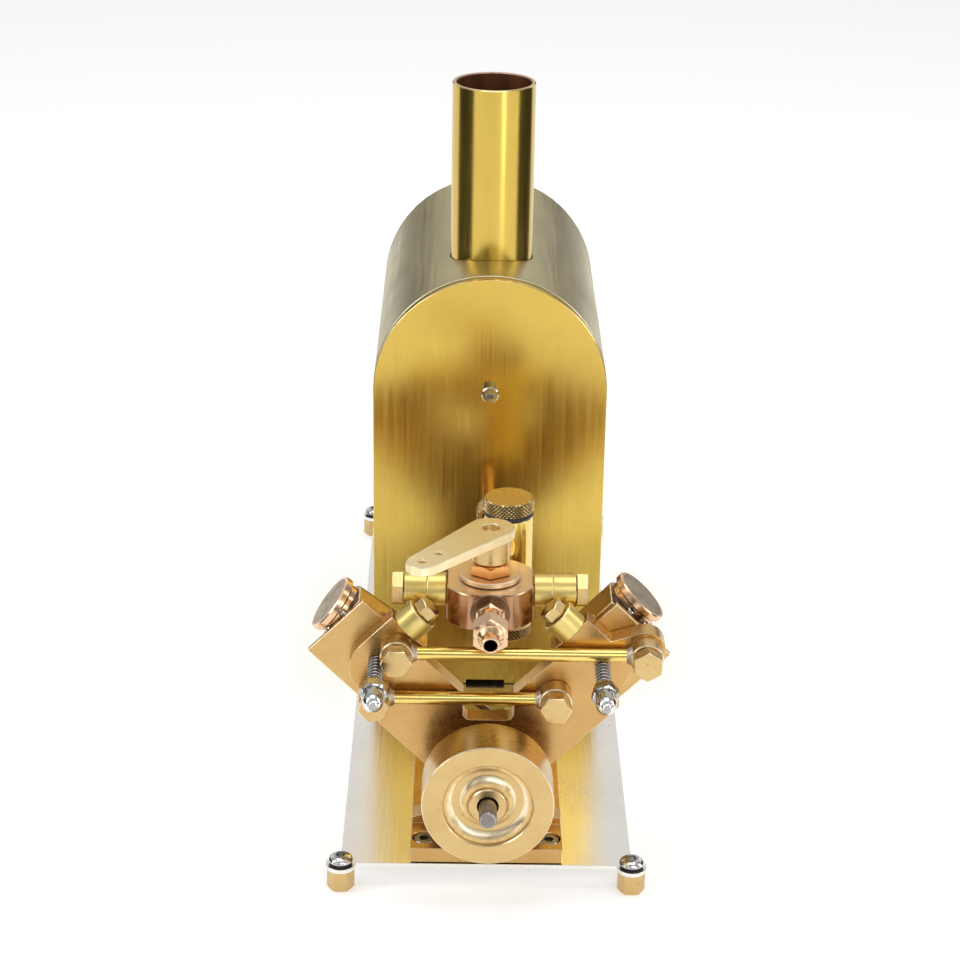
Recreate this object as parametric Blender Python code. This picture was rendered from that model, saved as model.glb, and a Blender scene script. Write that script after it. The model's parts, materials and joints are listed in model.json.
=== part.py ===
"""Model steam engine: brass boiler casing and chimney, V-twin oscillating engine, steel base plate.

Sizes are in metres. X is across the engine, Y runs from the flywheel to the back of the
boiler and Z is up. The origin is under the middle of the whole model, at foot level.
"""
import math

import bmesh
import bpy
from mathutils import Matrix, Vector

# ---------------------------------------------------------------- driving sizes
# Clearances
FIT_GAP = 0.0002          # between pieces that are fixed together
RUNNING_GAP = 0.0001      # round a turning shaft, stud or sliding rod
PASSING_GAP = 0.0008      # between pieces that move past each other

# Base plate and feet
PLATE_WIDTH = 0.0662      # screw to screw, across
PLATE_LENGTH = 0.1974     # screw to screw, front to back
PLATE_THICKNESS = 0.0010
LOBE_RADIUS = 0.0034
FOOT_HEIGHT = 0.0052
FOOT_FLATS = 0.0047
SCREW_HEAD_RADIUS = 0.00285
SCREW_HEAD_HEIGHT = 0.00165
SCREW_SHANK_RADIUS = 0.0015
SEAL_THICKNESS = 0.0008
SOCKET_FLATS = 0.0020

# Boiler casing, chimney and what is inside
CASING_Y = 0.0879         # outer face of the front plate, from the base plate's front edge
CASING_LENGTH = 0.0920
CASING_RADIUS = 0.0290
SPRING_HEIGHT = 0.0815    # where the arch starts, above the base plate
END_THICKNESS = 0.0020
SHEET_THICKNESS = 0.0010
VENT_WIDTH = 0.0100
VENT_HEIGHT = 0.0010
DOOR_WIDTH = 0.0360
DOOR_HEIGHT = 0.0160
CHIMNEY_Y = 0.1127
CHIMNEY_RADIUS = 0.0103
CHIMNEY_WALL = 0.0010
CHIMNEY_TOP = 0.1537
DRUM_RADIUS = 0.0210
DRUM_LENGTH = 0.0760
DRUM_HEIGHT = 0.0620
TRAY_LENGTH = 0.0800
TRAY_HEIGHT = 0.0100
TRAY_WALL = 0.0008
SAFETY_Y = 0.1500
SAFETY_RADIUS = 0.0045

# Engine frame
FOOT_BLOCK_WIDTH = 0.0344
FOOT_BLOCK_THICKNESS = 0.0038
FOOT_BLOCK_Y = 0.0003
FOOT_BLOCK_LENGTH = 0.0440
FRAME_Y = 0.0115          # front face of the frame plate
FRAME_THICKNESS = 0.0050
SHAFT_HEIGHT = 0.0200     # shaft axis above the base plate
ARM_ANGLE = math.radians(45)
PIVOT_REACH = 0.0359      # from shaft axis to a cylinder pivot
ARM_END = PIVOT_REACH + 0.0053
ARM_INNER = 0.0082        # inner edge of an arm, from its centre line
ARM_LAND = 0.0103         # the raised land under the diagonal union
LAND_LENGTH = 0.0100
LAND_RISE = 0.0021         # length of the slope up to the land
ARM_OUTER = 0.0106        # lower edge of an arm, from its centre line
ARM_CORNER = 0.0068       # radius round the pivot end
ARM_SHOULDER = 0.0032     # step from that radius down to the lower edge
NOTCH_HALF = 0.0057
NOTCH_BOTTOM = 0.0109     # above the shaft axis
NOTCH_CORNER = 0.0016
WAIST_HALF = 0.0128
WAIST_FILLET = 0.0045
FILLET_LIFT = 0.0016      # above the foot block
FRAME_SCREW_X = 0.0143
FRAME_SCREW_Y = 0.0052
SEAT_RADIUS = 0.0027
SEAT_DEPTH = 0.0022
FRAME_SCREW_HEAD = (0.0023, 0.0018)   # radius and height
FRAME_SCREW_SHANK = (0.0012, 0.0014)
PORT_PLATE_THICKNESS = 0.0015
PORT_PLATE_REACH = PIVOT_REACH + 0.0111
PORT_PLATE_LOW = 0.0111
PORT_PLATE_HIGH = 0.0066
PORT_PLATE_LENGTH = 0.0230
BEARING_RADIUS = 0.0046
BEARING_NOSE = 0.0070     # in front of the frame plate

# Crank and flywheel
SHAFT_RADIUS = 0.0020
SHAFT_NOSE_Y = -0.0147
CRANK_THROW = 0.0052
CRANK_ANGLE = math.radians(35)   # above +X in the modelled pose
CRANK_DISC_RADIUS = 0.0080
CRANK_DISC_THICKNESS = 0.0030
CRANK_PIN_RADIUS = 0.0010
CRANK_PIN_LENGTH = 0.0028
FLYWHEEL_RADIUS = 0.01474
FLYWHEEL_WIDTH = 0.0114
FLYWHEEL_Y = -0.0084
RIM_INNER = 0.0101
HUB_RADIUS = 0.0042
COVE_DEPTH = 0.0030       # of the hollow between hub and rim

# Cylinders, pistons and pivots
CYLINDER_RADIUS = 0.0069
LEFT_CYLINDER_BACK = 0.0063      # bore axis behind the port face, left
RIGHT_CYLINDER_BACK = 0.0085     # and right, so that the rods pass on the crank pin
CYLINDER_INNER = 0.0090          # from the pivot towards the crank
CYLINDER_OUTER = 0.0104          # from the pivot away from the crank
BORE_RADIUS = 0.0035
BORE_INNER = 0.0068
CAP_THICKNESS = 0.0018
CAP_OUTER = 0.0140
CAP_NECK_RADIUS = CYLINDER_RADIUS - 0.0008
PISTON_THICKNESS = 0.0036
PISTON_MEAN = 0.0020             # piston centre from the pivot at mid stroke
ROD_RADIUS = 0.0009
BIG_END_RADIUS = 0.0024
BIG_END_HOLE = 0.00115
STUD_RADIUS = 0.0012
STUD_LENGTH = 0.0217             # in front of the frame plate
SPRING_RADIUS = 0.0016
NUT_FLATS = 0.0055
NUT_THICKNESS = 0.0042
NUT_FRONT_Y = -0.0046
DOME_RADIUS = 0.0023

# Pipes and unions
PIPE_RADIUS = 0.0015
RING_RADIUS = 0.0037
RING_THICKNESS = 0.0045
UNION_HEX_FLATS = 0.0062
UNION_HEX_THICKNESS = 0.0034
PIVOT_X = PIVOT_REACH * math.sin(ARM_ANGLE)
PIVOT_HEIGHT = SHAFT_HEIGHT + PIVOT_REACH * math.cos(ARM_ANGLE)   # above the base plate
UPPER_PIPE_HEIGHT = PIVOT_HEIGHT + 0.0035
LOWER_PIPE_HEIGHT = PIVOT_HEIGHT - 0.0077
UPPER_LEFT_X = -PIVOT_X + 0.0047
UPPER_RIGHT_X = PIVOT_X + 0.0097
LOWER_LEFT_X = -PIVOT_X - 0.0003
LOWER_RIGHT_X = PIVOT_X - 0.0104
EAR_MARGIN = 0.0008       # of the frame's ear round the outer union ring
EAR_ROOT = (0.0095, 0.0030)   # from that ring inwards and down to the ear's root

# Reversing valve
VALVE_Y = 0.0200
VALVE_RADIUS = 0.0108
VALVE_FLAT = 0.0097
VALVE_TOP = UPPER_PIPE_HEIGHT + 0.0138
VALVE_HEIGHT = 0.0086
FLANGE_RADIUS = 0.0070
FLANGE_THICKNESS = 0.0013
GLAND_FLATS = 0.0086
GLAND_THICKNESS = 0.0026
SPINDLE_RADIUS = 0.0043
LEVER_TOP = VALVE_TOP + 0.0123
LEVER_THICKNESS = 0.0022
LEVER_REACH = 0.0240
LEVER_BIG_RADIUS = 0.0053
LEVER_TIP_RADIUS = 0.0036
LEVER_HOLE = 0.00195
LEVER_TIP_HOLE = 0.0008
LEVER_HOLE_PITCH = 0.0056
LEVER_ANGLE = math.radians(231.2)   # from +X, seen from above
NIPPLE_LENGTH = 0.0160
NIPPLE_RADIUS = 0.0020
NIPPLE_BORE = 0.00145
NIPPLE_HEX_FLATS = 0.0075
NIPPLE_BASE_FLATS = 0.0064
NIPPLE_BASE_LENGTH = 0.0050
NIPPLE_NUT_START = 0.0075
NIPPLE_NUT_LENGTH = 0.0046
SIDE_UNION_Z = VALVE_TOP - 0.0030
SIDE_UNION_RADIUS = 0.0038
SIDE_UNION_END = 0.0194
SIDE_BOLT_FLATS = 0.0060
SIDE_BOLT_THICKNESS = 0.0025
DIAGONAL_REACH = PIVOT_REACH + 0.0007
DIAGONAL_Y = 0.0134
DIAGONAL_RADIUS = 0.0039
DIAGONAL_LENGTH = 0.0050
DIAGONAL_FLATS = 0.0050
DIAGONAL_BOLT_THICKNESS = 0.0024
STUB_X = 0.0178
STUB_SETBACK = 0.0015     # of the stub behind the diagonal barrel's axis
STUB_RADIUS = 0.0012

# Lubricator and steam pipe
LUBRICATOR_X = 0.0042
LUBRICATOR_RADIUS = 0.0056
LINK_LENGTH = 0.0010      # clear length of the pipe between valve and pot
LUBRICATOR_Y = VALVE_Y + VALVE_FLAT + LINK_LENGTH + LUBRICATOR_RADIUS
LUBRICATOR_WALL = 0.0012
LUBRICATOR_BOTTOM = VALVE_TOP - 0.0179
LUBRICATOR_TOP = VALVE_TOP + 0.0085
LUBRICATOR_FLOOR = 0.0015
CAP_KNOB_RADIUS = LUBRICATOR_RADIUS + 0.0002
CAP_KNOB_THICKNESS = 0.0033
DRAIN_RADIUS = LUBRICATOR_RADIUS + 0.0001
DRAIN_HEIGHT = 0.0036
STEAM_PIPE_X = 0.0
STEAM_PIPE_Z = VALVE_TOP - 0.0067
UNION_NUT_Y = 0.0680
UNION_NUT_RADIUS = 0.0031
UNION_NUT_LENGTH = 0.0060

# ---------------------------------------------------------------- the shared frame
FRONT_Y = SHAFT_NOSE_Y
BACK_Y = PLATE_LENGTH + LOBE_RADIUS
MIDDLE_Y = (FRONT_Y + BACK_Y) / 2
TOP_OF_PLATE = FOOT_HEIGHT + PLATE_THICKNESS

ALONG_X = Vector((1, 0, 0))
ALONG_Y = Vector((0, 1, 0))
ALONG_Z = Vector((0, 0, 1))
ROUND = 32                # faces round a large turned piece
SMALL_ROUND = 16          # faces round a small one

MATERIALS = {
    "polished_brass": ((0.84, 0.62, 0.24), 0.12, 1.0),
    "dull_brass": ((0.62, 0.53, 0.33), 0.38, 1.0),
    "engine_brass": ((0.76, 0.55, 0.31), 0.30, 1.0),
    "copper": ((0.72, 0.40, 0.24), 0.28, 1.0),
    "steel": ((0.62, 0.62, 0.61), 0.20, 1.0),
    "plate_steel": ((0.72, 0.71, 0.68), 0.24, 1.0),
}


def at(x, y, z):
    """A world point from distances off the centre line, the plate's front edge and its top."""
    return Vector((x, y - MIDDLE_Y, z + TOP_OF_PLATE))


def on_arm(side, along, across, y):
    """A world point on an arm: along it from the shaft axis, and across it, inwards positive."""
    x = side * (along * math.sin(ARM_ANGLE) - across * math.cos(ARM_ANGLE))
    z = SHAFT_HEIGHT + along * math.cos(ARM_ANGLE) + across * math.sin(ARM_ANGLE)
    return at(x, y, z)


# ---------------------------------------------------------------- modelling helpers
def clear_scene():
    for item in list(bpy.data.objects):
        bpy.data.objects.remove(item, do_unlink=True)


def make_material(name):
    material = bpy.data.materials.new(name)
    material.use_nodes = True
    shader = material.node_tree.nodes["Principled BSDF"]
    colour, roughness, metallic = MATERIALS[name.split("__")[0]]
    shader.inputs["Base Color"].default_value = (*colour, 1.0)
    shader.inputs["Roughness"].default_value = roughness
    shader.inputs["Metallic"].default_value = metallic
    return material


def finish(name, bm, look, location=(0, 0, 0), axis=ALONG_Z, smooth=True):
    """Turn a bmesh into an object whose local Z points along the axis."""
    bmesh.ops.remove_doubles(bm, verts=bm.verts, dist=1e-7)
    bmesh.ops.recalc_face_normals(bm, faces=bm.faces)
    mesh = bpy.data.meshes.new(name)
    bm.to_mesh(mesh)
    bm.free()
    item = bpy.data.objects.new(name, mesh)
    bpy.context.collection.objects.link(item)
    item.location = location
    item.rotation_mode = "QUATERNION"
    item.rotation_quaternion = ALONG_Z.rotation_difference(axis)
    if look:
        mesh.materials.append(make_material(f"{look}__{name}"))
    if smooth:
        mesh.shade_smooth()
        mesh.set_sharp_from_angle(angle=math.radians(35))
    return item


def lathe(bm, profile, steps=ROUND, closed=False):
    """Spin (radius, height) points about local Z; a closed profile makes a ring."""
    verts = [bm.verts.new((radius, 0, height)) for radius, height in profile]
    pairs = list(zip(verts, verts[1:]))
    if closed:
        pairs.append((verts[-1], verts[0]))
    edges = [bm.edges.new(pair) for pair in pairs]
    bmesh.ops.spin(bm, geom=verts + edges, axis=(0, 0, 1), cent=(0, 0, 0),
                   steps=steps, angle=math.tau, use_merge=True)
    bmesh.ops.remove_doubles(bm, verts=bm.verts, dist=1e-7)


def prism(bm, outline, low, high):
    """Extrude an (x, y) outline along local Z from low to high."""
    face = bm.faces.new([bm.verts.new((x, y, low)) for x, y in outline])
    moved = bmesh.ops.extrude_face_region(bm, geom=[face])["geom"]
    top = [item for item in moved if isinstance(item, bmesh.types.BMVert)]
    bmesh.ops.translate(bm, verts=top, vec=(0, 0, high - low))


def turned(name, profile, look, location, axis=ALONG_Z, steps=ROUND, closed=False):
    bm = bmesh.new()
    lathe(bm, profile, steps, closed)
    return finish(name, bm, look, location, axis)


def rod(name, radius, length, look, location, axis=ALONG_Z, steps=SMALL_ROUND):
    profile = [(0, 0), (radius, 0), (radius, length), (0, length)]
    return turned(name, profile, look, location, axis, steps)


def ring(name, inner, outer, length, look, location, axis=ALONG_Z, steps=ROUND):
    profile = [(inner, 0), (outer, 0), (outer, length), (inner, length)]
    return turned(name, profile, look, location, axis, steps, closed=True)


def polygon(flats, turn=0.0):
    """A hexagon outline from its size across flats."""
    radius = flats / 2 / math.cos(math.pi / 6)
    angles = [turn + math.radians(60 * step) for step in range(6)]
    return [(radius * math.cos(angle), radius * math.sin(angle)) for angle in angles]


def hexagon(name, flats, length, look, location, axis=ALONG_Z, turn=0.0):
    """A hexagonal bar whose top edge is chamfered like a turned bolt head."""
    bm = bmesh.new()
    prism(bm, polygon(flats, turn), 0, length)
    top = [edge for edge in bm.edges if all(vert.co.z > length * 0.99 for vert in edge.verts)]
    bmesh.ops.bevel(bm, geom=top, offset=flats * 0.05, segments=1, affect="EDGES")
    return finish(name, bm, look, location, axis, smooth=False)


def slab(name, outline, y_front, thickness, look, smooth=False):
    """A plate parallel to XZ, from an outline in (x, z) above the base plate."""
    bm = bmesh.new()
    prism(bm, [(x, -z) for x, z in outline], 0, thickness)
    bmesh.ops.rotate(bm, verts=bm.verts, matrix=Matrix.Rotation(-math.pi / 2, 3, "X"))
    item = finish(name, bm, look, smooth=smooth)
    item.location = at(0, y_front, 0)
    return item


def block(name, size, look, centre):
    bm = bmesh.new()
    bmesh.ops.create_cube(bm, size=1.0)
    bmesh.ops.scale(bm, verts=bm.verts, vec=size)
    return finish(name, bm, look, centre, smooth=False)


def guide(item):
    """Mark an operand so that it is drawn as wire and never rendered."""
    item.hide_render = True
    item.display_type = "WIRE"
    return item


def combine(target, operand, operation):
    modifier = target.modifiers.new(operation.lower(), "BOOLEAN")
    modifier.operation = operation
    modifier.solver = "EXACT"
    modifier.object = guide(operand)
    if target.parent and not operand.parent:
        operand.parent = target.parent


def cut(target, operand):
    combine(target, operand, "DIFFERENCE")


def fuse(target, operand):
    combine(target, operand, "UNION")


def arc(centre_x, centre_y, radius, start, end, steps):
    """Points round a circle from one angle to another, in degrees."""
    angles = [math.radians(start + (end - start) * step / steps) for step in range(steps + 1)]
    return [(centre_x + radius * math.cos(a), centre_y + radius * math.sin(a)) for a in angles]


# ---------------------------------------------------------------- base plate and feet
def corners():
    """Each corner's name, X and Y."""
    half = PLATE_WIDTH / 2
    return [("front_left", -half, 0), ("front_right", half, 0),
            ("rear_left", -half, PLATE_LENGTH), ("rear_right", half, PLATE_LENGTH)]


def make_base_plate():
    """A flat plate whose corners swell into round lobes about the screws."""
    outline = []
    half, length = PLATE_WIDTH / 2, PLATE_LENGTH
    for x, y, start in ((half, 0, 180), (half, length, 270), (-half, length, 0), (-half, 0, 90)):
        outline += arc(x, y, LOBE_RADIUS, start, start + 270, 12)
    bm = bmesh.new()
    prism(bm, outline, -PLATE_THICKNESS, 0)
    plate = finish("base_plate", bm, "plate_steel", at(0, 0, 0), smooth=False)
    for name, x, y in corners():
        hole = rod(f"hole_{name}", SCREW_SHANK_RADIUS + FIT_GAP, 3 * PLATE_THICKNESS, None,
                   at(x, y, -2 * PLATE_THICKNESS))
        cut(plate, hole)


def make_feet():
    """A hexagonal pillar under each corner, tapped for the screw above it."""
    for name, x, y in corners():
        foot = hexagon(f"foot_{name}", FOOT_FLATS, FOOT_HEIGHT - FIT_GAP, "engine_brass",
                       at(x, y, -PLATE_THICKNESS - FIT_GAP), axis=-ALONG_Z)
        bore = rod(f"foot_bore_{name}", SCREW_SHANK_RADIUS + RUNNING_GAP, FOOT_HEIGHT * 0.8, None,
                   at(x, y, -PLATE_THICKNESS - FOOT_HEIGHT * 0.7))
        cut(foot, bore)


def button_profile():
    """A domed screw head above its shank, as (radius, height) from the top down."""
    shank = PLATE_THICKNESS + SEAL_THICKNESS + FOOT_HEIGHT * 0.6
    dome = [(SCREW_HEAD_RADIUS * math.sin(math.radians(angle)),
             SCREW_HEAD_HEIGHT * math.cos(math.radians(angle))) for angle in (0, 25, 45, 65, 85)]
    return dome + [(SCREW_HEAD_RADIUS, 0), (SCREW_SHANK_RADIUS, 0), (SCREW_SHANK_RADIUS, -shank),
                   (0, -shank)]


def make_foot_screws():
    """Socket screws whose heads leave room for a rubber seal above the plate."""
    for name, x, y in corners():
        screw = turned(f"foot_screw_{name}", button_profile(), "steel", at(x, y, SEAL_THICKNESS),
                       steps=SMALL_ROUND)
        socket = hexagon(f"socket_{name}", SOCKET_FLATS, SCREW_HEAD_HEIGHT, None,
                         at(x, y, SEAL_THICKNESS + SCREW_HEAD_HEIGHT * 0.4))
        cut(screw, socket)


# ---------------------------------------------------------------- boiler casing
def arch_outline(radius, bottom, steps=24):
    """Straight sides and a half-round top, in (x, z)."""
    return [(-radius, bottom), (radius, bottom)] + arc(0, SPRING_HEIGHT, radius, 0, 180, steps)


def make_casing_front():
    front = slab("casing_front", arch_outline(CASING_RADIUS, FIT_GAP), CASING_Y, END_THICKNESS,
                 "polished_brass")
    vent = block("casing_vent", (VENT_WIDTH, END_THICKNESS * 3, VENT_HEIGHT * 2), None,
                 at(0, CASING_Y, 0))
    cut(front, vent)
    hole = rod("casing_screw_hole", SCREW_SHANK_RADIUS + RUNNING_GAP, END_THICKNESS * 3, None,
               at(0, CASING_Y - END_THICKNESS, SPRING_HEIGHT), ALONG_Y)
    cut(front, hole)
    inlet = rod("steam_inlet", PIPE_RADIUS + FIT_GAP, END_THICKNESS * 3, None,
                at(STEAM_PIPE_X, CASING_Y - END_THICKNESS, STEAM_PIPE_Z), ALONG_Y)
    cut(front, inlet)


def casing_back_y():
    return CASING_Y + CASING_LENGTH


def make_casing_body():
    """Both side walls and the rear plate, one folded and soldered piece."""
    rear_y = casing_back_y() - END_THICKNESS
    body = slab("casing_body", arch_outline(CASING_RADIUS, FIT_GAP), rear_y, END_THICKNESS,
                "polished_brass")
    front_y = CASING_Y + END_THICKNESS + FIT_GAP
    length = rear_y - front_y + END_THICKNESS / 2
    for side in (-1, 1):
        wall = block(f"side_wall_{side}", (SHEET_THICKNESS, length, SPRING_HEIGHT - FIT_GAP), None,
                     at(side * (CASING_RADIUS - SHEET_THICKNESS / 2), front_y + length / 2,
                        SPRING_HEIGHT / 2 + FIT_GAP / 2))
        fuse(body, wall)
    door = block("fire_door", (DOOR_WIDTH, END_THICKNESS * 3, DOOR_HEIGHT * 2), None,
                 at(0, rear_y, 0))
    cut(body, door)


def make_casing_roof():
    """The half-round roof sheet, held between the end plates above a narrow seam."""
    seam = 2 * FIT_GAP
    front_y = CASING_Y + END_THICKNESS + FIT_GAP
    length = casing_back_y() - END_THICKNESS - FIT_GAP - front_y
    inner = CASING_RADIUS - SHEET_THICKNESS
    outer_arc = arc(0, SPRING_HEIGHT, CASING_RADIUS, 0, 180, 24)
    inner_arc = arc(0, SPRING_HEIGHT, inner, 180, 0, 24)
    outline = [(x, z + seam) for x, z in outer_arc + inner_arc]
    roof = slab("casing_roof", outline, front_y, length, "dull_brass", smooth=True)
    flue = rod("flue_hole", CHIMNEY_RADIUS + FIT_GAP, 0.03, None,
               at(0, CHIMNEY_Y, SPRING_HEIGHT + CASING_RADIUS / 2))
    cut(roof, flue)
    filler = rod("filler_hole", SAFETY_RADIUS / 2 + FIT_GAP, 0.03, None,
                 at(0, SAFETY_Y, SPRING_HEIGHT + CASING_RADIUS / 2))
    cut(roof, filler)


def make_casing_screw():
    """The socket screw at the centre of the front plate's arch."""
    head = [(0, 0.0022), (0.0018, 0.0022), (0.0021, 0.0019), (0.0021, 0), (SCREW_SHANK_RADIUS, 0),
            (SCREW_SHANK_RADIUS, -0.0040), (0, -0.0040)]
    screw = turned("casing_screw", head, "steel", at(0, CASING_Y - FIT_GAP, SPRING_HEIGHT),
                   -ALONG_Y, SMALL_ROUND)
    socket = hexagon("casing_socket", SOCKET_FLATS, 0.0022, None,
                     at(0, CASING_Y - FIT_GAP - 0.0010, SPRING_HEIGHT), -ALONG_Y)
    cut(screw, socket)


def make_chimney():
    bottom = SPRING_HEIGHT + CASING_RADIUS - 0.0080
    ring("chimney", CHIMNEY_RADIUS - CHIMNEY_WALL, CHIMNEY_RADIUS, CHIMNEY_TOP - bottom,
         "polished_brass", at(0, CHIMNEY_Y, bottom))


def make_boiler_drum():
    """The pressure vessel inside the casing, a round shell with domed ends."""
    dome = DRUM_RADIUS * 0.15
    profile = [(0, -dome), (DRUM_RADIUS * 0.6, -dome * 0.8), (DRUM_RADIUS, 0),
               (DRUM_RADIUS, DRUM_LENGTH), (DRUM_RADIUS * 0.6, DRUM_LENGTH + dome * 0.8),
               (0, DRUM_LENGTH + dome)]
    start = CASING_Y + (CASING_LENGTH - DRUM_LENGTH) / 2
    turned("boiler_drum", profile, "copper", at(0, start, DRUM_HEIGHT), ALONG_Y, 24)


def make_burner_tray():
    """A shallow open spirit tray that slides in through the rear door, with a pull handle."""
    width = DOOR_WIDTH - 0.0060
    start = casing_back_y() - TRAY_LENGTH + 0.0040
    middle = start + TRAY_LENGTH / 2
    tray = block("burner_tray", (width, TRAY_LENGTH, TRAY_HEIGHT), "dull_brass",
                 at(0, middle, FIT_GAP + TRAY_HEIGHT / 2))
    well = block("tray_well", (width - 2 * TRAY_WALL, TRAY_LENGTH - 2 * TRAY_WALL, TRAY_HEIGHT),
                 None, at(0, middle, FIT_GAP + TRAY_WALL + TRAY_HEIGHT / 2))
    cut(tray, well)
    pull = block("tray_pull", (0.0100, 0.0060, 0.0020), None,
                 at(0, start + TRAY_LENGTH + 0.0025, FIT_GAP + TRAY_HEIGHT / 2))
    fuse(tray, pull)


def make_safety_valve():
    """A filler plug with a relief stem, standing on the roof behind the chimney."""
    roof_top = SPRING_HEIGHT + CASING_RADIUS + 2 * FIT_GAP
    radius = SAFETY_RADIUS
    profile = [(0, -0.0060), (radius / 2, -0.0060), (radius / 2, FIT_GAP), (radius, FIT_GAP),
               (radius, 0.0040), (radius * 0.6, 0.0046), (radius * 0.6, 0.0070),
               (radius * 0.3, 0.0074), (radius * 0.3, 0.0090), (0, 0.0090)]
    turned("safety_valve", profile, "engine_brass", at(0, SAFETY_Y, roof_top), steps=SMALL_ROUND)


# ---------------------------------------------------------------- engine frame
def arm_points(side):
    """One arm's outline in (x, z), from the notch round its end to the waist."""
    land_start = ARM_END - LAND_LENGTH
    corner_start = ARM_END - ARM_CORNER
    corner_height = ARM_CORNER + ARM_SHOULDER - ARM_OUTER
    points = [(NOTCH_HALF * math.sqrt(2) + ARM_INNER, ARM_INNER),
              (land_start - LAND_RISE, ARM_INNER), (land_start, ARM_LAND), (ARM_END, ARM_LAND)]
    points += arc(corner_start, corner_height, ARM_CORNER, 0, -90, 6)
    points += [(corner_start - ARM_SHOULDER, -ARM_OUTER),
               (WAIST_HALF * math.sqrt(2) - ARM_OUTER, -ARM_OUTER)]
    half = math.sqrt(0.5)
    return [(side * (along - across) * half, SHAFT_HEIGHT + (along + across) * half)
            for along, across in points]


def frame_outline():
    """The V plate above its foot: notch, two arms, waist and a filleted base."""
    notch_z = SHAFT_HEIGHT + NOTCH_BOTTOM
    right_notch = arc(NOTCH_HALF - NOTCH_CORNER, notch_z + NOTCH_CORNER, NOTCH_CORNER, -90, 0, 4)
    right = right_notch + arm_points(1)
    foot_z = FOOT_BLOCK_THICKNESS + FILLET_LIFT
    fillet_x = WAIST_HALF + WAIST_FILLET
    fillet = arc(fillet_x, foot_z + WAIST_FILLET, WAIST_FILLET, 180, 270, 6)
    half_width = FOOT_BLOCK_WIDTH / 2
    right += [(min(x, half_width), z) for x, z in fillet]
    right += [(half_width, FOOT_BLOCK_THICKNESS / 2)]
    left = [(-x, z) for x, z in reversed(right)]
    return right + left


def make_frame():
    frame = slab("frame", frame_outline(), FRAME_Y, FRAME_THICKNESS, "engine_brass")
    foot_middle = FOOT_BLOCK_Y + FOOT_BLOCK_LENGTH / 2
    foot_size = (FOOT_BLOCK_WIDTH, FOOT_BLOCK_LENGTH, FOOT_BLOCK_THICKNESS - FIT_GAP)
    foot = block("foot_block", foot_size, None,
                 at(0, foot_middle, (FOOT_BLOCK_THICKNESS + FIT_GAP) / 2))
    fuse(frame, foot)
    fuse(frame, make_union_ear())
    bore = rod("bearing_bore", BEARING_RADIUS - 0.0010 + FIT_GAP, 0.03, None,
               at(0, FRAME_Y - 0.01, SHAFT_HEIGHT), ALONG_Y, ROUND)
    cut(frame, bore)
    for side in (-1, 1):
        pivot = rod(f"pivot_bore_{side}", STUD_RADIUS + RUNNING_GAP, 0.02, None,
                    on_arm(side, PIVOT_REACH, 0, FRAME_Y - 0.005), ALONG_Y)
        cut(frame, pivot)
        for operand in foot_screw_seat(side):
            cut(frame, operand)


def make_union_ear():
    """The rounded ear that carries the outer union on the right arm."""
    radius = RING_RADIUS + EAR_MARGIN
    ear_x, ear_z = UPPER_RIGHT_X, UPPER_PIPE_HEIGHT
    root_x, root_z = ear_x - EAR_ROOT[0], ear_z - EAR_ROOT[1]
    slope = math.degrees(math.atan2(ear_z - root_z, ear_x - root_x))
    outline = arc(ear_x, ear_z, radius, slope - 90, slope + 90, 10)
    outline += arc(root_x, root_z, radius, slope + 90, slope + 270, 6)
    return slab("union_ear", outline, FRAME_Y, FRAME_THICKNESS, None)


def screw_place(side):
    return side * FRAME_SCREW_X, FRAME_SCREW_Y


def foot_screw_seat(side):
    """The counterbore and the clearance hole of one foot screw."""
    x, y = screw_place(side)
    head = rod(f"seat_{side}", SEAT_RADIUS, 0.006, None, at(x, y, FOOT_BLOCK_THICKNESS - SEAT_DEPTH))
    hole = rod(f"seat_hole_{side}", SCREW_SHANK_RADIUS, 0.02, None, at(x, y, -0.005))
    return head, hole


def make_frame_screws():
    """Socket screws sunk in the foot's counterbores."""
    for label, side in (("left", -1), ("right", 1)):
        x, y = screw_place(side)
        radius, height = FRAME_SCREW_HEAD
        shank, depth = FRAME_SCREW_SHANK
        profile = [(0, height), (radius - FIT_GAP, height), (radius, height - FIT_GAP), (radius, 0),
                   (shank, 0), (shank, -depth), (0, -depth)]
        base = FOOT_BLOCK_THICKNESS - SEAT_DEPTH + FIT_GAP
        screw = turned(f"frame_screw_{label}", profile, "steel", at(x, y, base), steps=SMALL_ROUND)
        socket = hexagon(f"frame_socket_{label}", SOCKET_FLATS, height, None,
                         at(x, y, base + height * 0.45))
        cut(screw, socket)


def make_bearing():
    """A flanged bush through the frame; the shaft turns in it."""
    inner = SHAFT_RADIUS + RUNNING_GAP
    body = BEARING_RADIUS - 0.0010
    profile = [(inner, 0), (BEARING_RADIUS, 0), (BEARING_RADIUS, BEARING_NOSE - FIT_GAP),
               (body, BEARING_NOSE - FIT_GAP), (body, BEARING_NOSE + FRAME_THICKNESS),
               (inner, BEARING_NOSE + FRAME_THICKNESS)]
    turned("bearing", profile, "engine_brass", at(0, FRAME_Y - BEARING_NOSE, SHAFT_HEIGHT), ALONG_Y,
           closed=True)


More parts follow.
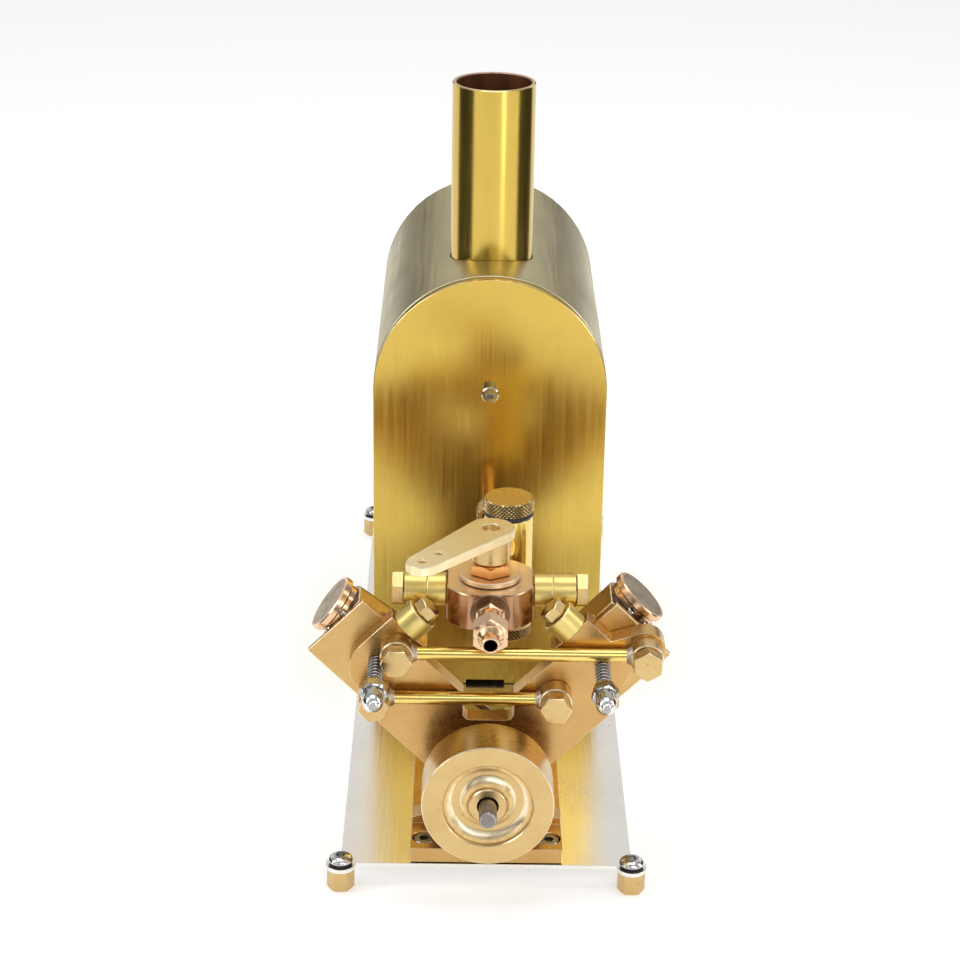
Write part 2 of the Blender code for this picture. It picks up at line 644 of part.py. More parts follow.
def make_port_plates():
    """The flat plates behind the arms that the cylinders' port faces rub on."""
    half = math.sqrt(0.5)
    inner_end = PORT_PLATE_REACH - PORT_PLATE_LENGTH
    corners_on_arm = [(inner_end, -PORT_PLATE_LOW), (PORT_PLATE_REACH, -PORT_PLATE_LOW),
                      (PORT_PLATE_REACH, PORT_PLATE_HIGH), (inner_end, PORT_PLATE_HIGH)]
    back = FRAME_Y + FRAME_THICKNESS + FIT_GAP
    for label, side in (("left", -1), ("right", 1)):
        outline = [(side * (along - across) * half, SHAFT_HEIGHT + (along + across) * half)
                   for along, across in corners_on_arm]
        plate = slab(f"port_plate_{label}", outline, back, PORT_PLATE_THICKNESS, "engine_brass")
        hole = rod(f"port_pivot_{label}", STUD_RADIUS + RUNNING_GAP, 0.01, None,
                   on_arm(side, PIVOT_REACH, 0, back - 0.005), ALONG_Y)
        cut(plate, hole)


# ---------------------------------------------------------------- crank and flywheel
def crank_y():
    """The front of the crank disc, just behind the bearing."""
    return FRAME_Y + FRAME_THICKNESS + PASSING_GAP / 2


def make_crankshaft():
    """Shaft, disc and a pin that stops short of the rods' big ends."""
    length = crank_y() - SHAFT_NOSE_Y
    disc_top = length + CRANK_DISC_THICKNESS
    nose = 0.0003
    profile = [(0, 0), (SHAFT_RADIUS - nose, 0), (SHAFT_RADIUS, nose), (SHAFT_RADIUS, length),
               (CRANK_DISC_RADIUS, length), (CRANK_DISC_RADIUS, disc_top), (0, disc_top)]
    shaft = turned("crankshaft", profile, "steel", at(0, SHAFT_NOSE_Y, SHAFT_HEIGHT), ALONG_Y)
    x = CRANK_THROW * math.cos(CRANK_ANGLE)
    z = SHAFT_HEIGHT + CRANK_THROW * math.sin(CRANK_ANGLE)
    disc_back = crank_y() + CRANK_DISC_THICKNESS
    pin = rod("crank_pin", CRANK_PIN_RADIUS, CRANK_PIN_LENGTH + 0.001, None,
              at(x, disc_back - 0.001, z), ALONG_Y)
    fuse(shaft, pin)


def flywheel_profile():
    """Half section, heights from the front face back: hub, smooth round hollow, rim."""
    inner = SHAFT_RADIUS + RUNNING_GAP
    middle = (RIM_INNER + HUB_RADIUS) / 2
    half = (RIM_INNER - HUB_RADIUS) / 2
    cove = [(middle - half * math.cos(math.radians(angle)), COVE_DEPTH * math.sin(math.radians(angle)))
            for angle in range(0, 181, 20)]
    front = [(inner, 0)] + cove
    edge = 0.0003
    rim = [(FLYWHEEL_RADIUS - edge, 0), (FLYWHEEL_RADIUS, edge),
           (FLYWHEEL_RADIUS, FLYWHEEL_WIDTH - edge), (FLYWHEEL_RADIUS - edge, FLYWHEEL_WIDTH)]
    return front + rim + [(inner, FLYWHEEL_WIDTH)]


def make_flywheel():
    turned("flywheel", flywheel_profile(), "engine_brass", at(0, FLYWHEEL_Y, SHAFT_HEIGHT), ALONG_Y,
           steps=40, closed=True)


# ---------------------------------------------------------------- cylinders
def crank_pin_point():
    return CRANK_THROW * math.cos(CRANK_ANGLE), CRANK_THROW * math.sin(CRANK_ANGLE)


def cylinder_pose(side):
    """Lean from upright, and the distance from pivot to crank pin, in the modelled pose."""
    pin_x, pin_z = crank_pin_point()
    across = PIVOT_REACH * math.sin(ARM_ANGLE) - side * pin_x
    up = PIVOT_REACH * math.cos(ARM_ANGLE) - pin_z
    return math.atan2(across, up), math.hypot(across, up)


def port_face_y():
    return FRAME_Y + FRAME_THICKNESS + 2 * FIT_GAP + PORT_PLATE_THICKNESS


def pivot_empty(label, side):
    """The joint's own frame: local Z runs out along the cylinder, local Y is the pivot."""
    empty = bpy.data.objects.new(f"{label}_pivot", None)
    bpy.context.collection.objects.link(empty)
    empty.location = on_arm(side, PIVOT_REACH, 0, port_face_y())
    empty.rotation_euler = (0, side * cylinder_pose(side)[0], 0)
    return empty


def make_cylinder(label, empty, back):
    """A half-round block with a blind bore, a rod hole and the pivot hole's boss."""
    radius = CYLINDER_RADIUS
    outline = [(-radius, 0), (radius, 0)] + arc(0, back, radius, 0, 180, 20)
    bm = bmesh.new()
    prism(bm, outline, -CYLINDER_INNER, CYLINDER_OUTER)
    cylinder = finish(f"cylinder_{label}", bm, "engine_brass")
    cylinder.parent = empty
    bore = rod(f"bore_{label}", BORE_RADIUS, 0.04, None, (0, back, -BORE_INNER), steps=ROUND)
    cut(cylinder, bore)
    gland = rod(f"gland_hole_{label}", ROD_RADIUS + RUNNING_GAP, 0.02, None, (0, back, -0.012))
    cut(cylinder, gland)


def make_cap(label, empty, back):
    """The end cover: a thin round plate on a narrower neck."""
    start = CYLINDER_OUTER + FIT_GAP
    plate = CAP_OUTER - CAP_THICKNESS
    edge = 0.0002
    profile = [(0, start), (CAP_NECK_RADIUS, start), (CAP_NECK_RADIUS, plate),
               (CYLINDER_RADIUS, plate), (CYLINDER_RADIUS, CAP_OUTER - edge),
               (CYLINDER_RADIUS - edge, CAP_OUTER), (0, CAP_OUTER)]
    cap = turned(f"cylinder_cap_{label}", profile, "copper", (0, back, 0))
    cap.parent = empty


def make_piston(label, empty, back, pin_distance):
    """Piston and rod in one, with a flat eye for the crank pin."""
    centre = PIVOT_REACH + PISTON_MEAN - pin_distance
    bottom, top = centre - PISTON_THICKNESS / 2, centre + PISTON_THICKNESS / 2
    running = BORE_RADIUS - RUNNING_GAP
    start = -pin_distance + BIG_END_RADIUS * 0.8
    profile = [(0, start), (ROD_RADIUS, start), (ROD_RADIUS, bottom), (running, bottom),
               (running, top), (0, top)]
    piston = turned(f"piston_{label}", profile, "steel", (0, back, 0), steps=SMALL_ROUND)
    piston.parent = empty
    eye = rod(f"eye_{label}", BIG_END_RADIUS, 2 * ROD_RADIUS, None,
              (0, back - ROD_RADIUS, -pin_distance), ALONG_Y)
    fuse(piston, eye)
    hole = rod(f"eye_hole_{label}", BIG_END_HOLE, 0.006, None, (0, back - 0.003, -pin_distance),
               ALONG_Y)
    cut(piston, hole)


def make_stud(label, empty):
    """The pivot pin: it leaves the cylinder, runs through the arm and carries spring and nut."""
    reach = port_face_y() - FIT_GAP - (FRAME_Y - STUD_LENGTH)
    dome_start = port_face_y() - FIT_GAP - (NUT_FRONT_Y - FIT_GAP)
    profile = [(0, 0), (STUD_RADIUS, 0), (STUD_RADIUS, dome_start), (DOME_RADIUS, dome_start),
               (DOME_RADIUS, reach - 0.0026), (DOME_RADIUS * 0.92, reach - 0.0012),
               (DOME_RADIUS * 0.7, reach - 0.0003), (DOME_RADIUS * 0.45, reach), (0, reach)]
    stud = turned(f"pivot_stud_{label}", profile, "steel", (0, -FIT_GAP, 0), -ALONG_Y, SMALL_ROUND)
    stud.parent = empty


def make_spring(label, empty):
    """The pivot spring, simplified to the sleeve that its close coils fill."""
    start = port_face_y() - FRAME_Y + FIT_GAP
    end = port_face_y() - (NUT_FRONT_Y + NUT_THICKNESS + 2 * FIT_GAP)
    inner = STUD_RADIUS + RUNNING_GAP
    profile = [(inner, start), (SPRING_RADIUS, start), (SPRING_RADIUS, end), (inner, end)]
    spring = turned(f"pivot_spring_{label}", profile, "steel", (0, 0, 0), -ALONG_Y, SMALL_ROUND,
                    closed=True)
    spring.parent = empty


def make_nut(label, empty):
    start = port_face_y() - NUT_FRONT_Y - NUT_THICKNESS
    nut = hexagon(f"pivot_nut_{label}", NUT_FLATS, NUT_THICKNESS, "steel", (0, -start, 0), -ALONG_Y)
    nut.parent = empty
    hole = rod(f"nut_hole_{label}", STUD_RADIUS + RUNNING_GAP, 0.02, None,
               (0, -start + 0.005, 0), -ALONG_Y)
    cut(nut, hole)


def make_cylinders():
    for label, side, back in (("left", -1, LEFT_CYLINDER_BACK), ("right", 1, RIGHT_CYLINDER_BACK)):
        empty = pivot_empty(f"cylinder_{label}", side)
        make_cylinder(label, empty, back)
        make_cap(label, empty, back)
        make_piston(label, empty, back, cylinder_pose(side)[1])
        make_stud(label, empty)
        make_spring(label, empty)
        make_nut(label, empty)


# ---------------------------------------------------------------- front pipes and unions
def ring_y():
    """The front of a union ring that rests on the frame plate."""
    return FRAME_Y - FIT_GAP - RING_THICKNESS


def make_front_pipe(name, left_x, right_x, height):
    """A straight pipe soldered between two union rings on the frame's face."""
    y = ring_y() + RING_THICKNESS / 2
    pipe = rod(name, PIPE_RADIUS, right_x - left_x, "polished_brass", at(left_x, y, height), ALONG_X)
    for label, x in (("left", left_x), ("right", right_x)):
        collar = rod(f"{name}_ring_{label}", RING_RADIUS, RING_THICKNESS, None,
                     at(x, ring_y(), height), ALONG_Y, ROUND)
        fuse(pipe, collar)
        hexagon(f"{name}_bolt_{label}", UNION_HEX_FLATS, UNION_HEX_THICKNESS, "engine_brass",
                at(x, ring_y() - FIT_GAP, height), -ALONG_Y)


def make_front_pipes():
    make_front_pipe("upper_pipe", UPPER_LEFT_X, UPPER_RIGHT_X, UPPER_PIPE_HEIGHT)
    make_front_pipe("lower_pipe", LOWER_LEFT_X, LOWER_RIGHT_X, LOWER_PIPE_HEIGHT)


# ---------------------------------------------------------------- reversing valve
def make_valve_body():
    """A round body with four flats, for the pipes that meet in it."""
    body = rod("valve_body", VALVE_RADIUS, VALVE_HEIGHT, "copper",
               at(0, VALVE_Y, VALVE_TOP - VALVE_HEIGHT), steps=ROUND)
    chord = 2 * math.sqrt(VALVE_RADIUS ** 2 - VALVE_FLAT ** 2) + FIT_GAP
    for number in range(4):
        direction = Matrix.Rotation(math.radians(90 * number), 3, "Z") @ ALONG_Y
        centre = at(0, VALVE_Y, VALVE_TOP) + direction * (VALVE_FLAT + chord / 2)
        cut(body, block(f"valve_flat_{number}", (chord, chord, 4 * VALVE_HEIGHT), None, centre))
    well = rod("valve_well", SPINDLE_RADIUS * 0.6, 0.01, None, at(0, VALVE_Y, VALVE_TOP - 0.004))
    cut(body, well)


def make_valve_flange():
    ring("valve_flange", SPINDLE_RADIUS * 0.6, FLANGE_RADIUS, FLANGE_THICKNESS, "copper",
         at(0, VALVE_Y, VALVE_TOP + FIT_GAP))


def gland_base():
    return VALVE_TOP + 2 * FIT_GAP + FLANGE_THICKNESS


def make_gland_nut():
    nut = hexagon("gland_nut", GLAND_FLATS, GLAND_THICKNESS, "copper", at(0, VALVE_Y, gland_base()),
                  turn=math.radians(30))
    hole = rod("gland_bore", SPINDLE_RADIUS * 0.5 + RUNNING_GAP, 0.02, None,
               at(0, VALVE_Y, gland_base() - 0.005))
    cut(nut, hole)


def lever_outline():
    """Two end circles joined by straight tapering sides, pointing along local X."""
    lean = math.degrees(math.asin((LEVER_BIG_RADIUS - LEVER_TIP_RADIUS) / LEVER_REACH))
    tip = arc(LEVER_REACH, 0, LEVER_TIP_RADIUS, -90 + lean, 90 - lean, 4)
    return tip + arc(0, 0, LEVER_BIG_RADIUS, 90 - lean, 270 + lean, 16)


def make_lever():
    """The flat lever and the spindle that it turns, in one piece."""
    bm = bmesh.new()
    prism(bm, lever_outline(), -LEVER_THICKNESS, 0)
    bmesh.ops.rotate(bm, verts=bm.verts, matrix=Matrix.Rotation(LEVER_ANGLE, 3, "Z"))
    lever = finish("valve_lever", bm, "engine_brass", at(0, VALVE_Y, LEVER_TOP))
    boss_low = gland_base() + GLAND_THICKNESS + FIT_GAP
    pin = SPINDLE_RADIUS * 0.5
    foot = VALVE_TOP - 0.0036 - LEVER_TOP
    boss = boss_low - LEVER_TOP
    profile = [(0, foot), (pin, foot), (pin, boss), (SPINDLE_RADIUS, boss),
               (SPINDLE_RADIUS, -LEVER_THICKNESS / 2), (0, -LEVER_THICKNESS / 2)]
    fuse(lever, turned("lever_spindle", profile, None, at(0, VALVE_Y, LEVER_TOP)))
    direction = Vector((math.cos(LEVER_ANGLE), math.sin(LEVER_ANGLE), 0))
    holes = [(0, LEVER_HOLE), (LEVER_REACH - LEVER_HOLE_PITCH, LEVER_TIP_HOLE),
             (LEVER_REACH, LEVER_TIP_HOLE)]
    for number, (reach, radius) in enumerate(holes):
        place = at(0, VALVE_Y, LEVER_TOP - LEVER_THICKNESS * 0.8) + direction * reach
        cut(lever, rod(f"lever_hole_{number}", radius, 0.01, None, place, steps=16))


def make_exhaust_nipple():
    """The front pipe connection: two hexagons and an open bored spout."""
    start = VALVE_Y - VALVE_FLAT - FIT_GAP
    z = VALVE_TOP - VALVE_HEIGHT / 2
    nipple = rod("exhaust_nipple", NIPPLE_RADIUS, NIPPLE_LENGTH, "engine_brass", at(0, start, z),
                 -ALONG_Y, 24)
    base = hexagon("nipple_base_hex", NIPPLE_BASE_FLATS, NIPPLE_BASE_LENGTH, None, at(0, start, z),
                   -ALONG_Y, math.radians(30))
    nut = hexagon("nipple_nut_hex", NIPPLE_HEX_FLATS, NIPPLE_NUT_LENGTH, None,
                  at(0, start - NIPPLE_NUT_START, z), -ALONG_Y, math.radians(30))
    fuse(nipple, base)
    fuse(nipple, nut)
    bore = rod("nipple_bore", NIPPLE_BORE, NIPPLE_LENGTH, None, at(0, start - 0.001, z), -ALONG_Y)
    cut(nipple, bore)


def make_side_unions():
    """On each side, a barrel from the valve, a short stub and the arm's diagonal union."""
    half = math.sqrt(0.5)
    for label, side in (("left", -1), ("right", 1)):
        start = VALVE_FLAT + FIT_GAP
        link = rod(f"steam_link_{label}", SIDE_UNION_RADIUS, SIDE_UNION_END - start,
                   "polished_brass", at(side * start, VALVE_Y, SIDE_UNION_Z), side * ALONG_X, ROUND)
        inward = Vector((-side * half, 0, half))
        foot = on_arm(side, DIAGONAL_REACH, ARM_LAND + FIT_GAP, DIAGONAL_Y)
        barrel = rod(f"diagonal_barrel_{label}", DIAGONAL_RADIUS, DIAGONAL_LENGTH, None, foot,
                     inward, ROUND)
        middle = foot + inward * (DIAGONAL_LENGTH * 0.3) + ALONG_Y * STUB_SETBACK
        top = at(side * STUB_X, VALVE_Y, SIDE_UNION_Z)
        stub = rod(f"stub_{label}", STUB_RADIUS, (top - middle).length, None, middle, top - middle)
        fuse(link, barrel)
        fuse(link, stub)
        hexagon(f"side_bolt_{label}", SIDE_BOLT_FLATS, SIDE_BOLT_THICKNESS, "engine_brass",
                at(side * (SIDE_UNION_END + FIT_GAP), VALVE_Y, SIDE_UNION_Z), side * ALONG_X)
        hexagon(f"diagonal_bolt_{label}", DIAGONAL_FLATS, DIAGONAL_BOLT_THICKNESS, "engine_brass",
                foot + inward * (DIAGONAL_LENGTH + FIT_GAP), inward)


# ---------------------------------------------------------------- lubricator and steam pipe
def make_lubricator():
    """An oil pot: a deep cup with a screw cap above and a drain knob below."""
    inner = LUBRICATOR_RADIUS - LUBRICATOR_WALL
    height = LUBRICATOR_TOP - LUBRICATOR_BOTTOM
    profile = [(0, 0), (LUBRICATOR_RADIUS, 0), (LUBRICATOR_RADIUS, height), (inner, height),
               (inner, LUBRICATOR_FLOOR), (0, LUBRICATOR_FLOOR)]
    turned("lubricator_pot", profile, "polished_brass",
           at(LUBRICATOR_X, LUBRICATOR_Y, LUBRICATOR_BOTTOM))
    cap_z = LUBRICATOR_TOP + SEAL_THICKNESS + FIT_GAP
    edge = 0.0004
    plug = inner - FIT_GAP
    cap = [(0, -0.0030), (plug, -0.0030), (plug, 0), (CAP_KNOB_RADIUS, 0),
           (CAP_KNOB_RADIUS, CAP_KNOB_THICKNESS - edge), (CAP_KNOB_RADIUS - edge, CAP_KNOB_THICKNESS),
           (0, CAP_KNOB_THICKNESS)]
    turned("lubricator_cap", cap, "engine_brass", at(LUBRICATOR_X, LUBRICATOR_Y, cap_z))
    drain = [(0, -DRAIN_HEIGHT), (DRAIN_RADIUS - edge, -DRAIN_HEIGHT),
             (DRAIN_RADIUS, edge - DRAIN_HEIGHT), (DRAIN_RADIUS, 0), (0, 0)]
    turned("drain_knob", drain, "engine_brass",
           at(LUBRICATOR_X, LUBRICATOR_Y, LUBRICATOR_BOTTOM - FIT_GAP))


def make_lubricator_link():
    """The short pipe from the oil pot to the back of the valve."""
    z = VALVE_TOP - VALVE_HEIGHT / 2
    start = VALVE_Y + VALVE_FLAT + FIT_GAP
    pot_front = LUBRICATOR_Y - math.sqrt(LUBRICATOR_RADIUS ** 2 - (LUBRICATOR_X / 2) ** 2)
    length = pot_front - 3 * FIT_GAP - start
    rod("lubricator_link", PIPE_RADIUS, length, "polished_brass", at(LUBRICATOR_X / 2, start, z),
        ALONG_Y)


def make_steam_pipe():
    """The pipe from the casing's front plate to the pot, through a knurled union nut."""
    start = LUBRICATOR_Y + LUBRICATOR_RADIUS + FIT_GAP
    end = CASING_Y + 0.0030
    rod("steam_pipe", PIPE_RADIUS, end - start, "polished_brass",
        at(STEAM_PIPE_X, start, STEAM_PIPE_Z), ALONG_Y)
    ring("union_nut", PIPE_RADIUS + FIT_GAP, UNION_NUT_RADIUS, UNION_NUT_LENGTH, "engine_brass",
         at(STEAM_PIPE_X, UNION_NUT_Y, STEAM_PIPE_Z), ALONG_Y)


def main():
    clear_scene()
    make_base_plate()
    make_feet()
    make_foot_screws()
    make_casing_front()
    make_casing_body()
    make_casing_roof()
    make_casing_screw()
    make_chimney()
    make_boiler_drum()
    make_burner_tray()
    make_safety_valve()
    make_frame()
    make_frame_screws()
    make_bearing()
    make_port_plates()
    make_crankshaft()
    make_flywheel()
    make_cylinders()
    make_front_pipes()
    make_valve_body()
    make_valve_flange()
    make_gland_nut()
    make_lever()
    make_exhaust_nipple()
    make_side_unions()
    make_lubricator()
    make_lubricator_link()
    make_steam_pipe()


main()
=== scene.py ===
# %% [markdown]
# # A model steam engine
# The engine's sizes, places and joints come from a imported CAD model. This lesson dresses it: each
# piece gets the fine shape and the metal finish of the real one. Nothing here moves a CAD piece.
# A shape that is only a stand-in is hidden, and a better one takes its place on the same body.

# %% Load the frame
import json
import math

import bmesh
import bpy
from mathutils import Matrix, Vector


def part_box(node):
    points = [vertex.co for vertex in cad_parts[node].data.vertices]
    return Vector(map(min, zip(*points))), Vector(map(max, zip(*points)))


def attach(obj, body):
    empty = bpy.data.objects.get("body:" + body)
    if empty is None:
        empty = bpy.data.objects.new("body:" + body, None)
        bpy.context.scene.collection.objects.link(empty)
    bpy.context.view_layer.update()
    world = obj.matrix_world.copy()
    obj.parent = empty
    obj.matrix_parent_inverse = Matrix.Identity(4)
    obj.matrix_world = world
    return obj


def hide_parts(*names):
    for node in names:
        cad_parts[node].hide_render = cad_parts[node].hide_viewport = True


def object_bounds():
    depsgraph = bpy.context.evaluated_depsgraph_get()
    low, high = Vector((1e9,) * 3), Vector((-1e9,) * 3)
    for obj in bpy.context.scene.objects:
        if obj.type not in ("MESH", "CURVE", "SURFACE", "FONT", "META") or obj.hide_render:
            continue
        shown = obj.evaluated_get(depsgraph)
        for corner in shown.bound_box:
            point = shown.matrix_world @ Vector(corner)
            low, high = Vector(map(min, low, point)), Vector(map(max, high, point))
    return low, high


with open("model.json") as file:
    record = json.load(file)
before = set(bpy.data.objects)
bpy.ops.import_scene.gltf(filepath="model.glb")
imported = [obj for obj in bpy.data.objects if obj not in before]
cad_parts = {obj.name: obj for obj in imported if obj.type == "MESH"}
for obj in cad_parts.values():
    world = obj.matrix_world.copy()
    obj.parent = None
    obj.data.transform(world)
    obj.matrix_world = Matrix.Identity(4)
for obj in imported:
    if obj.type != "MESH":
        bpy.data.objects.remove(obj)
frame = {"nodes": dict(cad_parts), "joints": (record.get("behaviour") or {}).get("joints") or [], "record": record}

CAD_LOW, CAD_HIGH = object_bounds()
BODIES = frame["record"]["behaviour"]["bodies"]
BODY_OF = {node: body for body, nodes in BODIES.items() for node in nodes}
JOINTS = {joint["name"]: joint for joint in frame["joints"]}
MM = 0.001
ALONG_X = Vector((1, 0, 0))
ALONG_Y = Vector((0, 1, 0))
ALONG_Z = Vector((0, 0, 1))
SIDES = (("left", -1), ("right", 1))
print(f"{len(BODY_OF)} CAD nodes on {len(BODIES)} bodies")

# %% [markdown]
# ## Camera, floor and light
# Polished brass shows its surroundings more than itself, so the light matters as much as the metal.
# A bare grey world would make it flat. Large soft panels overhead and at the sides give long bright
# reflections, and a world that is a little darker than the panels leaves room between them.

# %% Camera
CAMERA_PLACE = Vector((-0.006416, -0.562390, 0.298577))
CAMERA_YAW = math.radians(0.4389)
CAMERA_PITCH = math.radians(22.832)
CAMERA_ROLL = math.radians(-0.926)
CAMERA_LENS = 90.05


def aim_camera(camera):
    """Point the camera from its yaw, its pitch below the horizon and its roll."""
    forward = Vector((math.sin(CAMERA_YAW) * math.cos(CAMERA_PITCH),
                      math.cos(CAMERA_YAW) * math.cos(CAMERA_PITCH), -math.sin(CAMERA_PITCH)))
    right = Vector((math.cos(CAMERA_YAW), -math.sin(CAMERA_YAW), 0))
    down = forward.cross(right)
    rolled_right = math.cos(CAMERA_ROLL) * right + math.sin(CAMERA_ROLL) * down
    rolled_down = math.cos(CAMERA_ROLL) * down - math.sin(CAMERA_ROLL) * right
    turn = Matrix((rolled_right, -rolled_down, -forward)).transposed().to_4x4()
    camera.matrix_world = Matrix.Translation(CAMERA_PLACE) @ turn


lens = bpy.data.cameras.new("camera")
lens.lens = CAMERA_LENS
lens.sensor_width = 36
camera = bpy.data.objects.new("camera", lens)
bpy.context.collection.objects.link(camera)
aim_camera(camera)
bpy.context.scene.camera = camera
bpy.context.scene.view_settings.view_transform = "Standard"

# %% Node helpers
def add_node(tree, kind, inputs=None, **settings):
    """A node with its settings, whose inputs are either values or sockets to link from."""
    node = tree.nodes.new(kind)
    for key, value in settings.items():
        setattr(node, key, value)
    for key, value in (inputs or {}).items():
        if isinstance(value, bpy.types.NodeSocket):
            tree.links.new(value, node.inputs[key])
        else:
            node.inputs[key].default_value = value
    return node


def new_group(name, inputs, outputs):
    """An empty shader group with named sockets, and its input and output nodes."""
    group = bpy.data.node_groups.new(name, "ShaderNodeTree")
    for label, kind, value in inputs:
        group.interface.new_socket(label, in_out="INPUT", socket_type=kind).default_value = value
    for label, kind in outputs:
        group.interface.new_socket(label, in_out="OUTPUT", socket_type=kind)
    return group, group.nodes.new("NodeGroupInput").outputs, group.nodes.new("NodeGroupOutput").inputs


def mix_colour(tree, factor, first, second):
    """A colour mix node's result socket."""
    node = add_node(tree, "ShaderNodeMix", {0: factor, 6: first, 7: second}, data_type="RGBA")
    return node.outputs[2]


def object_noise(tree, scale, detail, roughness=0.5):
    """Noise in object space, as a socket."""
    coords = add_node(tree, "ShaderNodeTexCoord")
    noise = add_node(tree, "ShaderNodeTexNoise", {"Vector": coords.outputs["Object"], "Scale": scale,
                                                  "Detail": detail, "Roughness": roughness})
    return noise.outputs["Fac"]


def map_range(tree, value, low, high, to_low=0.0, to_high=1.0):
    """A socket that carries one range of values onto another."""
    node = add_node(tree, "ShaderNodeMapRange", {"Value": value, "From Min": low, "From Max": high,
                                                 "To Min": to_low, "To Max": to_high})
    return node.outputs[0]


def math_node(tree, operation, *values):
    """The result socket of one sum."""
    return add_node(tree, "ShaderNodeMath", dict(enumerate(values)), operation=operation).outputs[0]


# %% Soft panels and world
TARGET = (CAD_LOW + CAD_HIGH) / 2


def add_panel(name, place, size, power, colour=(1, 1, 1)):
    """A rectangular soft light that faces the middle of the model."""
    light = bpy.data.lights.new(name, "AREA")
    light.shape = "RECTANGLE"
    light.size, light.size_y = size
    light.energy = power
    light.color = colour
    panel = bpy.data.objects.new(name, light)
    panel.location = place
    panel.rotation_mode = "QUATERNION"
    panel.rotation_quaternion = (TARGET - Vector(place)).to_track_quat("-Z", "Y")
    bpy.context.collection.objects.link(panel)


add_panel("top_panel", (0.0, 0.05, 0.95), (0.6, 0.6), 2.4)
add_panel("left_panel", (-0.75, -0.25, 0.45), (0.25, 0.7), 1.4)
add_panel("right_panel", (0.80, -0.10, 0.40), (0.20, 0.7), 1.1)
add_panel("front_panel", (0.15, -0.95, 0.75), (0.45, 0.3), 0.9)
add_panel("low_strip", (0.20, -0.36, 0.16), (0.05, 0.30), 0.16)


def add_stage_piece(name, bm, colour, roughness):
    """A plain piece that is only part of the stage; returns it with its shader."""
    mesh = bpy.data.meshes.new(name)
    bm.to_mesh(mesh)
    bm.free()
    piece = bpy.data.objects.new(name, mesh)
    bpy.context.collection.objects.link(piece)
    material = bpy.data.materials.new(name)
    material.use_nodes = True
    shader = material.node_tree.nodes["Principled BSDF"]
    shader.inputs["Base Color"].default_value = (*colour, 1)
    shader.inputs["Roughness"].default_value = roughness
    mesh.materials.append(material)
    return piece, shader


def add_card(name, place, size):
    """A low dark card, seen only in reflections, that gives round metal its dark edges."""
    bm = bmesh.new()
    bmesh.ops.create_cube(bm, size=1.0)
    bmesh.ops.scale(bm, verts=bm.verts, vec=size)
    bmesh.ops.translate(bm, verts=bm.verts, vec=Vector(place) + Vector((0, 0, size[2] / 2)))
    card, _ = add_stage_piece(name, bm, (0.03, 0.025, 0.02), 1.0)
    card.visible_camera = False
    card.visible_diffuse = False
    card.visible_shadow = False


add_card("left_card", (-0.26, -0.02, 0), (0.01, 0.26, 0.14))
add_card("right_card", (0.27, 0.08, 0), (0.01, 0.30, 0.14))


def make_world():
    """A pale room, brighter overhead than along the horizon."""
    world = bpy.data.worlds.new("studio")
    world.use_nodes = True
    tree = world.node_tree
    coords = add_node(tree, "ShaderNodeTexCoord").outputs["Generated"]
    split = add_node(tree, "ShaderNodeSeparateXYZ", {0: coords})
    ramp = add_node(tree, "ShaderNodeValToRGB", {0: split.outputs["Z"]})
    for place, tone in ((0.0, 0.06), (0.10, 0.12), (0.24, 0.86), (0.36, 0.86), (0.50, 0.70), (0.75, 0.78)):
        element = ramp.color_ramp.elements.new(place)
        element.color = (tone, tone, tone, 1)
    ramp.color_ramp.elements.remove(ramp.color_ramp.elements[-1])
    clouds = add_node(tree, "ShaderNodeTexNoise", {"Vector": coords, "Scale": 1.7})
    bands = map_range(tree, clouds.outputs["Fac"], 0.42, 0.58, 0.45, 1.15)
    scaled = add_node(tree, "ShaderNodeVectorMath", {0: ramp.outputs[0], "Scale": bands}, operation="SCALE")
    tree.links.new(scaled.outputs[0], tree.nodes["Background"].inputs["Color"])
    bpy.context.scene.world = world


make_world()


def make_floor():
    """A wide pale sheet that the feet stand on."""
    bm = bmesh.new()
    bmesh.ops.create_grid(bm, x_segments=2, y_segments=2, size=2.5)
    bmesh.ops.translate(bm, verts=bm.verts, vec=(0, 0, CAD_LOW.z))
    _, shader = add_stage_piece("floor", bm, (0.93, 0.93, 0.93), 0.75)
    shader.inputs["Emission Color"].default_value = (1, 1, 1, 1)
    shader.inputs["Emission Strength"].default_value = 0.30


make_floor()

# %% [markdown]
# ## Metal finishes
# Every metal here shares the same marks: patches of tarnish, the fine lines that a tool leaves,
# bright edges that are partly wear and partly painted highlight, and a few specks. Each mark is a
# small node group, made once. A material then picks its own values. Turned pieces carry their
# radius and height in a mesh attribute named turning, so that the lathe lines run round them
# wherever they point. Its third value is one in the groove of a knurl, where painted shade darkens the colour.


# %% Tarnish in soft patches
def make_tarnish_group():
    group, given, result = new_group(
        "tarnish",
        [("Colour", "NodeSocketColor", (0.8, 0.6, 0.3, 1)), ("Stain", "NodeSocketColor", (0.4, 0.3, 0.2, 1)),
         ("Amount", "NodeSocketFloat", 0.5), ("Size", "NodeSocketFloat", 60.0)],
        [("Colour", "NodeSocketColor"), ("Mask", "NodeSocketFloat")])
    mask = map_range(group, object_noise(group, given["Size"], 6.0, 0.62), 0.42, 0.72)
    share = math_node(group, "MULTIPLY", mask, given["Amount"])
    group.links.new(mix_colour(group, share, given["Colour"], given["Stain"]), result["Colour"])
    group.links.new(share, result["Mask"])
    return group


